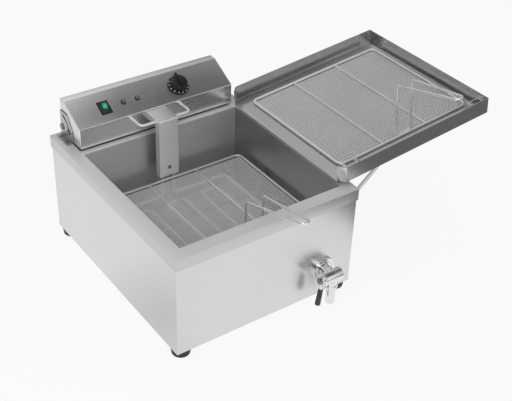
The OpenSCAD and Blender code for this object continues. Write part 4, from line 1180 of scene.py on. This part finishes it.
@dataclass
class Controls:
    """Switch, lamps and thermostat knob on the sloping panel. Sizes in millimetres.

    Each control is drawn over its own middle on the panel: X along it, Y up it and Z out of it.
    """

    front: float = 163.0
    fold_z: float = 302.0
    slope: float = math.atan2(35.0, 68.0)
    row: float = 35.0
    switch_x: float = -113.0
    green_x: float = -68.0
    clear_x: float = -34.0
    knob_x: float = 68.0
    skirt_z: tuple[float, float] = (0.8, 4.8)
    skirt_r: tuple[float, float] = (25.0, 23.6)
    grip_z: tuple[float, float] = (4.6, 17.8)
    grip_r: tuple[float, float] = (18.5, 16.8)
    rib: float = 0.7
    rib_land: float = 0.25
    bar_top: tuple[float, float] = (0.55, 0.93)
    bezel_top: tuple[float, float] = (0.93, 0.95)
    bar: tuple[Point, Point] = ((-3.8, -18, 4.6), (3.8, 24.2, 20.8))
    tick: tuple[Point, Point] = ((-0.8, 19.4, 4.3), (0.8, 23.3, 4.98))
    ticks: int = 11
    first_tick: float = 50.0
    tick_step: float = 26.0
    bezel: tuple[Point, Point] = ((-13, -16.5, 0), (13, 16.5, 2.5))
    window: tuple[Point, Point] = ((-9.3, -13.5, -8.5), (9.3, 13.5, 6))
    block: tuple[Point, Point] = ((-11, -14.5, -26), (11, 14.5, 0.5))
    rocker_w: float = 18.0
    rocker_side: tuple[tuple[float, float], ...] = (
        (-12.5, 6.5), (-9, 5.2), (0, 4.0), (9, 5.2), (12.5, 6.5), (12.5, 1), (0, -3), (-12.5, 1))
    rocker_sink: float = 2.5
    rocker_tilt: float = math.radians(8)
    glow_at: Point = (2, 2.5, 2.5)
    glow_reach: float = 8.2
    lamp_r: float = 5.0
    lamp_depth: float = 22.0
    lip_z: float = 2.0
    lip_r: tuple[float, float] = (6.25, 5.6)
    seat_r: float = 4.1
    seat_z: tuple[float, float] = (-4.2, 4.0)
    lens_r: float = 4.0
    lens_low: float = -4.0
    dome: float = 0.75

    def on_panel(self, x: float) -> Matrix:
        """Gives the matrix of a control: Y up the slope, Z out of the panel."""
        base = Matrix.Translation(at(0, self.front, self.fold_z)) @ Matrix.Rotation(self.slope, 4, "X")
        return base @ Matrix.Translation(at(x, self.row, 0))

    @staticmethod
    def block_of(name: str, corners: tuple[Point, Point]) -> Piece:
        """Adds a box between two corners in millimetres."""
        return Bench.box(name, *(at(*corner) for corner in corners))

    @staticmethod
    def turned(name: str, ends: Sequence[float], radii: Sequence[float], sides: int) -> Piece:
        """Adds a round piece between two heights in millimetres, with a radius at each."""
        start, end = (at(0, 0, z) for z in ends)
        return Bench.drum(name, start, end, radii[0], sides, radii[-1])

    def knob(self) -> None:
        """Turns the knob: a coned skirt, a ribbed grip and a pointer bar, with ticks on the skirt."""
        skirt = Bench.soften(self.turned("thermostat_dial", self.skirt_z, self.skirt_r, 72), 0.6, 2)
        grip = self.turned("grip", self.grip_z, self.grip_r, 72)
        with Bench.editing(grip) as mesh:
            for i, face in enumerate(f for f in mesh.faces if abs(f.normal.z) < SQUARE):
                face.select_set(i % 3 == 0)
            bpy.ops.mesh.inset(thickness=self.rib_land * MM, use_individual=True)
            bpy.ops.transform.shrink_fatten(value=-self.rib * MM)
        Bench.soften(grip, 0.4, 2, 50)
        bar = self.block_of("bar", self.bar)
        Bench.taper(bar, *self.bar_top)
        Bench.soften(bar, 0.9, 3)
        knob = Bench.place(Bench.join("thermostat_dial", [skirt, grip, bar]), self.on_panel(self.knob_x))
        Bench.dress(knob, KNOB_BLACK, "knob", "black_plastic", "thermostat_knob")
        ticks = []
        for i in range(self.ticks):
            turn = math.radians(self.first_tick + i * self.tick_step)
            tick = Bench.soften(self.block_of(f"tick_{i}", self.tick), 0.12, 1)
            ticks.append(Bench.place(tick, Matrix.Rotation(turn, 4, "Z")))
        marks = Bench.place(Bench.join("dial_ticks", ticks), self.on_panel(self.knob_x))
        Bench.dress(marks, MARK_WHITE, "knob", "black_plastic")

    def switch(self) -> None:
        """Makes the switch frame with its rounded bezel, and the lit rocker."""
        panel = self.on_panel(self.switch_x)
        bezel = self.block_of("switch_bezel", self.bezel)
        Bench.taper(bezel, *self.bezel_top)
        Bench.soften(bezel, 0.7, 3)
        window = self.block_of("window", self.window)
        Bench.cut(bezel, Bench.soften(self.block_of("block", self.block), 0.4, 1), "UNION")
        Bench.cut(bezel, window)
        Bench.dress(Bench.place(bezel, panel), FRAME_BLACK, "control_head", "black_plastic", "power_switch")
        side = [at(-self.rocker_w / 2, y, z) for y, z in self.rocker_side]
        rocker = Bench.prism("lit_rocker", side, self.rocker_w * MM)
        Bench.soften(rocker, 0.7, 3, 20)
        tilt = Matrix.Rotation(self.rocker_tilt, 4, "X")
        Bench.place(rocker, Matrix.Translation(at(0, 0, -self.rocker_sink)) @ tilt)
        Bench.place(rocker, panel)
        lit = LitRocker("lit_green", tuple(MIDDLE + panel @ at(*self.glow_at)), self.glow_reach * MM)
        Bench.dress(rocker, lit, "rocker", "green_rocker", "power_rocker")

    def lamps(self) -> None:
        """Turns the two lamp rings and their domed lenses."""
        rings = []
        for name, x, finish in (("green", self.green_x, GREEN_GLASS), ("clear", self.clear_x, CLEAR_GLASS)):
            ring = self.turned(f"ring_{name}", (-self.lamp_depth, self.lip_z), (self.lamp_r,), 40)
            Bench.cut(ring, self.turned("lip", (0, self.lip_z), self.lip_r, 48), "UNION")
            Bench.cut(ring, self.turned("seat", self.seat_z, (self.seat_r,), 40))
            Bench.soften(ring, 0.3, 2, 50)
            rings.append(Bench.place(ring, self.on_panel(x)))
            stem = self.turned("stem", (self.lens_low, self.lip_z + 0.02), (self.lens_r,), 40)
            lens = Bench.place(Bench.join(f"{name}_lamp_lens", [self._dome(), stem]), self.on_panel(x))
            Bench.dress(lens, finish, "control_head", f"{name}_lens", f"{name}_lens")
        bezels = Bench.join("lamp_bezels", rings)
        Bench.dress(bezels, FRAME_BLACK, "control_head", "black_plastic", "lamp_rings")

    def _dome(self) -> Piece:
        """Makes the flattened dome of a lens.

        Returns:
            The dome, over the lamp's lip.
        """
        Bench.clear()
        bpy.ops.mesh.primitive_uv_sphere_add(segments=40, ring_count=20, radius=self.lens_r * MM)
        dome = bpy.context.object
        dome.scale = (1, 1, self.dome)
        Bench.settle(dome, "dome")
        with Bench.editing(dome):
            bpy.ops.mesh.select_all(action="SELECT")
            bpy.ops.mesh.bisect(plane_co=(0, 0, 0), plane_no=(0, 0, 1), clear_inner=True, use_fill=True)
        return Bench.place(dome, Matrix.Translation(at(0, 0, self.lip_z)))

    def build(self) -> None:
        """Builds all the controls."""
        for make in (self.knob, self.switch, self.lamps):
            make()


@dataclass
class FryGrid:
    """A wire grid with welded mesh and a loop handle, drawn round its middle. Sizes in millimetres."""

    where: str
    body: str
    matrix: Matrix
    rim_finish: Steel
    bar_finish: Steel
    width: float = 356.0
    depth: float = 317.0
    frame_r: float = 3.0
    corner: float = 12.0
    bar_r: float = 2.0
    pitch: float = 5.5
    net_r: float = 0.74
    net_z: float = -1.2
    weld: float = 0.85
    handle_r: float = 2.75
    handle_bend: float = 7.5
    handle_gap: float = 0.1
    handle_low: float = -2.0
    handle_half: float = 20.0
    tip_half: float = 8.0
    upright: float = 122.0
    arm: tuple[float, float] = (158.0, 40.0)

    def fit(self, obj: Piece, name: str, finish: Finish, *kinds: str, smooth: float = 38) -> None:
        """Names a piece after its grid, puts it in its place and dresses it.

        Args:
            obj: the piece, drawn round the grid's middle.
            name: what the piece is called in its grid.
            finish: the finish to wear.
            kinds: what the nodes that it replaces are called in their grid.
            smooth: angle in degrees up to which faces shade smoothly.
        """
        obj.name = f"{self.where}_grid_{name}"
        Bench.place(obj, self.matrix)
        nodes = [f"{self.where}_grid_{kind}" for kind in kinds]
        Bench.dress(obj, finish, self.body, "bright_wire", *nodes, smooth=smooth)

    def wires(self) -> None:
        """Bends the frame and lays the stiffeners."""
        x, y = self.width / 2 - self.frame_r, self.depth / 2 - self.frame_r
        rim = Bench.tube("rim", [at(-x, -y, 0), at(x, -y, 0), at(x, y, 0), at(-x, y, 0)],
                         self.frame_r, self.corner, closed=True)
        self.fit(rim, "rim", self.rim_finish, "frame")
        thirds = (-self.width / 6, self.width / 6)
        bars = [Bench.tube("bar", [at(third, -y, 0), at(third, y, 0)], self.bar_r) for third in thirds]
        self.fit(Bench.join("bars", bars), "bars", self.bar_finish)

    def _wire_set(self, length: float, count: int, level: float) -> Piece:
        """Lays one set of parallel wires along X.

        Args:
            length: length of a wire.
            count: number of wires in the set.
            level: height of the wires' middle over the mesh's middle, in wire radii.

        Returns:
            The wires as one mesh object.
        """
        first, z = -(count - 1) * self.pitch / 2, self.net_z + level * self.net_r
        wire = Bench.tube("wire", [at(-length / 2, first, z), at(length / 2, first, z)], self.net_r, sides=8)
        return Bench.modify(wire, "ARRAY", count=count, use_relative_offset=False, use_constant_offset=True,
                            constant_offset_displace=at(0, self.pitch, 0))

    def net(self) -> None:
        """Welds the mesh from two sets of wires, one across the other."""
        columns, rows = (2 * int((size - 4 * self.frame_r) / self.pitch / 2)
                         for size in (self.width, self.depth))
        across = self._wire_set(columns * self.pitch, rows, self.weld)
        along = self._wire_set(rows * self.pitch, columns, -self.weld)
        Bench.place(along, Matrix.Rotation(math.pi / 2, 4, "Z"))
        self.fit(Bench.join("net", [across, along]), "net", NET_STEEL, "mesh", smooth=60)

    def handle(self) -> None:
        """Bends the loop handle: a foot behind the frame, two uprights and two arms."""
        y = -self.depth / 2 + 2 * self.frame_r + self.handle_r + self.handle_gap
        z = self.handle_low + self.handle_r + self.handle_gap
        half, tip, top = self.handle_half, self.tip_half, z + self.upright
        tip_y, tip_z = y - self.arm[0], top + self.arm[1]
        path = [(-half, y, z), (half, y, z), (half, y, top), (tip, tip_y, tip_z), (-tip, tip_y, tip_z),
                (-half, y, top)]
        loop = Bench.tube("grip", [at(*p) for p in path], self.handle_r, self.handle_bend, closed=True)
        self.fit(loop, "grip", GRIP_STEEL, "handle")

    def build(self) -> None:
        """Builds all pieces of the grid."""
        for make in (self.wires, self.net, self.handle):
            make()


@dataclass
class DrainLid:
    """The lid that stands at the side as a drain tray, and its prop bail. Sizes in millimetres."""

    x: float = 187.5
    y: float = -232.0
    z: float = 256.5
    tilt: float = math.radians(6.3)
    width: float = 404.0
    depth: float = 392.0
    wall: float = 37.0
    sheet: float = 1.2
    fold: float = 1.6
    corner: float = 13.5
    tab: tuple[float, float] = (38.0, 17.0)
    tab_in: float = 12.0
    tab_gap: float = 0.3
    tab_slot: tuple[float, float, float, float] = (7.0, 2.2, 31.0, 14.4)
    hem: tuple[Point, Point] = ((8, 24, -9), (18, 368, 0.6))
    rim_block: tuple[Point, Point] = ((150, -300, 200), (260, 300, 252.15))
    grid_at: tuple[float, float] = (212.0, 206.0)
    grid_gap: float = 0.3
    bail_at: Point = (165, 0, -6)
    bail_r: float = 4.0
    bail_bend: float = 12.0
    bail_arm: float = 178.0
    bail_ends: tuple[float, float] = (37.0, 355.0)
    bail_out: float = 23.8
    cabinet_side: float = 213.0
    bail_gap: float = 0.3

    def frame(self) -> Matrix:
        """Gives the tilted frame of the lid, from the front end of its open edge."""
        return Matrix.Translation(at(self.x, self.y, self.z)) @ Matrix.Rotation(-self.tilt, 4, "Y")

    def tray(self) -> None:
        """Folds the tray's walls up from its floor and adds the slotted tabs and the hem."""
        w, d, c = self.width, self.depth, self.corner
        floor = [(c, 0), (w, 0), (w, d), (c, d), (0, d - c), (0, c)]
        pan = Bench.outline("lid_pan", [at(x, y, 0) for x, y in floor])
        Bench.draw_edges(pan, lambda m, r: m.x > SAME, self.wall * MM)
        Bench.face_sheet(pan, -1)
        Bench.round_edges(pan, lambda m, r: (m.z < SAME and m.x > SAME) or abs(r.z) > SQUARE, self.fold, 3)
        Bench.thicken(pan, self.sheet)
        roll = self.sheet
        edge = Bench.tube("roll", [at(roll, c + 1, roll / 2), at(roll, d - c - 1, roll / 2)], roll)
        tabs = [self._tab(x) for x in (self.tab_in, w - self.tab_in - self.tab[0])]
        tray = Bench.place(Bench.join("lid_pan", [pan, *tabs, edge]), self.frame())
        hem = Bench.place(Bench.box("hem", *(at(*p) for p in self.hem)), self.frame())
        Bench.cut(hem, Bench.box("rim", *(at(*p) for p in self.rim_block)))
        Bench.dress(Bench.join("lid_pan", [tray, hem]), LID_STEEL, "lid", "brushed_sheet", "lid_tray")

    def _tab(self, x: float) -> Piece:
        """Cuts a slotted tab at the top of the front wall.

        Args:
            x: its left end, from the open edge.

        Returns:
            The tab.
        """
        length, depth = self.tab
        left, front, right, rear = self.tab_slot
        tab = Bench.box("tab", at(x, self.tab_gap, self.wall - self.sheet), at(x + length, depth, self.wall))
        slot = Bench.box("slot", at(x + left, front, self.wall - 5), at(x + right, rear, self.wall + 5))
        Bench.cut(tab, slot)
        return Bench.soften(tab, 0.3, 2)

    def bail(self) -> None:
        """Bends the prop bail that leans on the cabinet's side."""
        pivot = self.frame() @ at(*self.bail_at)
        x, z = pivot.x / MM, pivot.z / MM
        front, rear = (self.y + end for end in self.bail_ends)
        end_x = self.cabinet_side + self.bail_r + self.bail_gap
        low = z - math.sqrt(self.bail_arm ** 2 - (x - end_x) ** 2)
        path = [(x, front - self.bail_out, z), (x, front, z), (end_x, front, low), (end_x, rear, low),
                (x, rear, z), (x, rear + self.bail_out, z)]
        bail = Bench.tube("prop_rod", [at(*p) for p in path], self.bail_r, self.bail_bend)
        Bench.dress(bail, WIRE_STEEL, "bail", "bright_wire", "prop_bail")

    def build(self) -> None:
        """Builds the tray and the bail."""
        self.tray()
        self.bail()


class CarriedNodes:
    """CAD pieces whose shapes are right as they are, and only get their finish."""

    FINISHES: dict[Finish, tuple[str, ...]] = {
        CABINET_STEEL: ("base_plate",),
        TAP_CHROME: ("drain_pipe",),
        PLUG_BRASS: ("tap_plug",),
        CAPILLARY_STEEL: ("capillary",),
        BRACKET_STEEL: ("tilt_brackets", "head_floor", "element_flange", "grid_rests", "bail_clips"),
        SCREW_STEEL: ("foot_screws", "foot_nuts", "bracket_screws", "pivot_pins", "floor_screws",
                      "slot_pins", "riser_clamp", "thermostat_shaft"),
        GREY_PLASTIC: ("thermostat_body", "safety_cutout", "terminal_block"),
        FRAME_BLACK: ("tilt_switch", "cable_gland"),
    }

    def build(self) -> None:
        """Gives each node its finish."""
        for finish, nodes in self.FINISHES.items():
            for node in nodes:
                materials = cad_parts[node].data.materials
                materials.clear()
                materials.append(finish.make())
                log.info("%s carried over", node)


@dataclass(frozen=True)
class Ring:
    """A ring of soft walls round the room at one height, from the left by the front to the rear left."""

    height: float
    levels: tuple[float, ...]

    def stops(self) -> list[tuple[float, Colour]]:
        """Gives the colour stops once round the room, closed at the left."""
        levels = (*self.levels, self.levels[0])
        return [(i / (len(levels) - 1), (level,) * 3) for i, level in enumerate(levels)]


@dataclass(frozen=True)
class SoftBox:
    """A square area lamp, placed from under the cabinet's middle in metres."""

    name: str
    eye: Point
    aim: Point
    size: float
    power: float


@dataclass
class Studio:
    """Pale floor, soft light and the camera at the photograph's angle. Sizes in metres."""

    eye: tuple[float, float, float] = (-0.9605, -1.49955, 1.4006)
    yaw: float = math.radians(35.773)
    pitch: float = math.radians(34.901)
    roll: float = math.radians(1.914)
    focal: float = 1025.43
    image_width: float = 512.0
    sensor: float = 36.0
    shift: tuple[float, float] = (10.43 / 512, -1.34 / 512)
    backdrop: float = 0.955
    paper: float = 0.9
    mirror_glow: float = 0.88
    camera_glow: float = 0.9
    sheet_edge: tuple[float, float] = (0.34, 0.475)
    beyond: float = 0.12
    # Painted shadow on the floor by the cabinet's left front corner, seen only in reflections: its middle,
    # reach and depth.
    painted_shadow_at: tuple[float, float] = (-0.28, -0.13)
    painted_shadow_reach: float = 0.22
    shade: float = 0.25
    rings: tuple[Ring, ...] = (
        Ring(0.15, (0.02, 0.02, 0.95, 0.50, 0.05, 0.20, 0.35, 0.05)),
        Ring(0.50, (0.02, 0.02, 1.30, 0.85, 0.35, 0.45, 0.85, 0.15)),
        Ring(0.85, (0.80, 0.55, 0.34, 0.18, 0.02, 0.50, 1.00, 0.90)))
    boxes: tuple[SoftBox, ...] = (
        SoftBox("overhead", (-0.32, 0.25, 1.35), (-0.32, 0.25, 0.0), 1.1, 0.5),
        SoftBox("key", (-1.6, -1.4, 2.0), (0, 0, 0.2), 1.4, 13.0))

    def camera(self) -> None:
        """Sets the camera."""
        data = bpy.data.cameras.new("camera")
        data.sensor_fit = "HORIZONTAL"
        data.sensor_width = self.sensor
        data.lens = self.focal / self.image_width * self.sensor
        data.shift_x, data.shift_y = self.shift
        data.clip_start, data.clip_end = 0.05, 50.0
        cam = bpy.data.objects.new("camera", data)
        bpy.context.scene.collection.objects.link(cam)
        ahead = math.cos(self.pitch)
        look = Vector((math.sin(self.yaw) * ahead, math.cos(self.yaw) * ahead, -math.sin(self.pitch)))
        right = Vector((math.cos(self.yaw), -math.sin(self.yaw), 0))
        up = right.cross(look)
        cos, sin = math.cos(self.roll), math.sin(self.roll)
        turn = Matrix((cos * right + sin * up, cos * up - sin * right, -look)).transposed()
        cam.matrix_world = Matrix.Translation(MIDDLE + Vector(self.eye)) @ turn.to_4x4()
        bpy.context.scene.camera = cam

    def floor(self) -> None:
        """Lays a white sheet that ends to the right of the cabinet, and keeps a faint shadow; reflections
        also see a painted shadow by the cabinet's left front corner.
        """
        Bench.clear()
        bpy.ops.mesh.primitive_plane_add(size=24.0, location=(0, 0, -0.4 * MM))
        obj = Bench.settle(bpy.context.object, "floor")
        mat = bpy.data.materials.new("floor_paper")
        mat.use_nodes = True
        mat.node_tree.nodes.clear()
        net = Wiring(mat.node_tree)
        place = net.out("TexCoord", "Object")
        start, end = (MIDDLE.x + edge for edge in self.sheet_edge)
        sheet = net.span(net.out("SeparateXYZ", "X", {"Vector": place}), start, end, 1.0, self.beyond,
                         interpolation_type="SMOOTHSTEP")
        # Painted shadow: the floor's glow for reflections is darkened in a soft ball by the cabinet's left
        # front corner.
        dark = net.ball(place, MIDDLE + Vector((*self.painted_shadow_at, 0)), [self.painted_shadow_reach] * 3)
        lit = net.reckon("MULTIPLY", sheet, net.span(dark, 0.0, 1.0, 1.0, 1.0 - self.shade))
        rays = net.node("LightPath").outputs
        seen = rays["Is Camera Ray"]
        mirrored = net.reckon("MAXIMUM", rays["Is Glossy Ray"], rays["Is Transmission Ray"])
        share = net.reckon("MAXIMUM", net.reckon("MULTIPLY", mirrored, self.mirror_glow),
                           net.reckon("MULTIPLY", seen, self.camera_glow))
        paper = net.out("BsdfDiffuse", "BSDF", {"Color": plain(self.paper)})
        level = net.reckon("MAXIMUM", seen, lit)
        glow = net.out("Emission", "Emission", {"Color": plain(1.0), "Strength": level})
        net.show("OutputMaterial", share, paper, glow)
        obj.data.materials.append(mat)

    def sky(self) -> None:
        """Makes the room: one pale grey to the camera, and walls of different grey to the steel."""
        world = bpy.data.worlds.new("room")
        world.use_nodes = True
        world.node_tree.nodes.clear()
        net = Wiring(world.node_tree)
        way = net.node("SeparateXYZ", {"Vector": net.out("TexCoord", "Generated")}).outputs
        around = net.span(net.reckon("ARCTAN2", way["Y"], way["X"]), -math.pi, math.pi)
        lowest, *higher = self.rings
        walls, below = net.ramp(around, lowest.stops()), lowest.height
        for ring in higher:
            walls = net.blend(net.span(way["Z"], below, ring.height), walls, net.ramp(around, ring.stops()))
            below = ring.height
        room = net.out("Background", "Background", {"Color": walls})
        pale = net.out("Background", "Background", {"Color": plain(self.backdrop)})
        seen = net.out("LightPath", "Is Camera Ray")
        net.show("OutputWorld", seen, room, pale)
        bpy.context.scene.world = world

    def lamps(self) -> None:
        """Hangs a soft box close over the head's left half, and a key lamp at the left."""
        for box in self.boxes:
            data = bpy.data.lights.new(box.name, "AREA")
            data.size, data.energy = box.size, box.power
            lamp = bpy.data.objects.new(box.name, data)
            bpy.context.scene.collection.objects.link(lamp)
            lamp.location = MIDDLE + Vector(box.eye)
            lamp.rotation_euler = (Vector(box.aim) - Vector(box.eye)).to_track_quat("-Z", "Y").to_euler()

    def build(self) -> None:
        """Sets the whole studio and the plain view transform."""
        for make in (self.camera, self.floor, self.sky, self.lamps):
            make()
        bpy.context.scene.view_settings.view_transform = "Standard"


def main() -> None:
    """Builds the studio, every sub-assembly and the two grids."""
    Bench.clear()
    lid = DrainLid()
    for group in (Studio(), CarriedNodes(), Cabinet(), DrainTap(), ControlHead(), Controls(), lid):
        group.build()
    in_tank = Matrix.Translation(at(*TANK_GRID_AT))
    on_tray = lid.frame() @ Matrix.Translation(at(*lid.grid_at, lid.sheet + FryGrid.frame_r + lid.grid_gap))
    # The grid in the tank wears the darker copy of the wire finish: painted shade.
    FryGrid("tank", "tank_grid", in_tank, SUNK_WIRE_PAINTED_SHADE_STEEL, SUNK_WIRE_PAINTED_SHADE_STEEL).build()
    FryGrid("lid", "lid_grid", on_tray, WIRE_STEEL, BAR_STEEL).build()


if __name__ == "__main__":
    main()
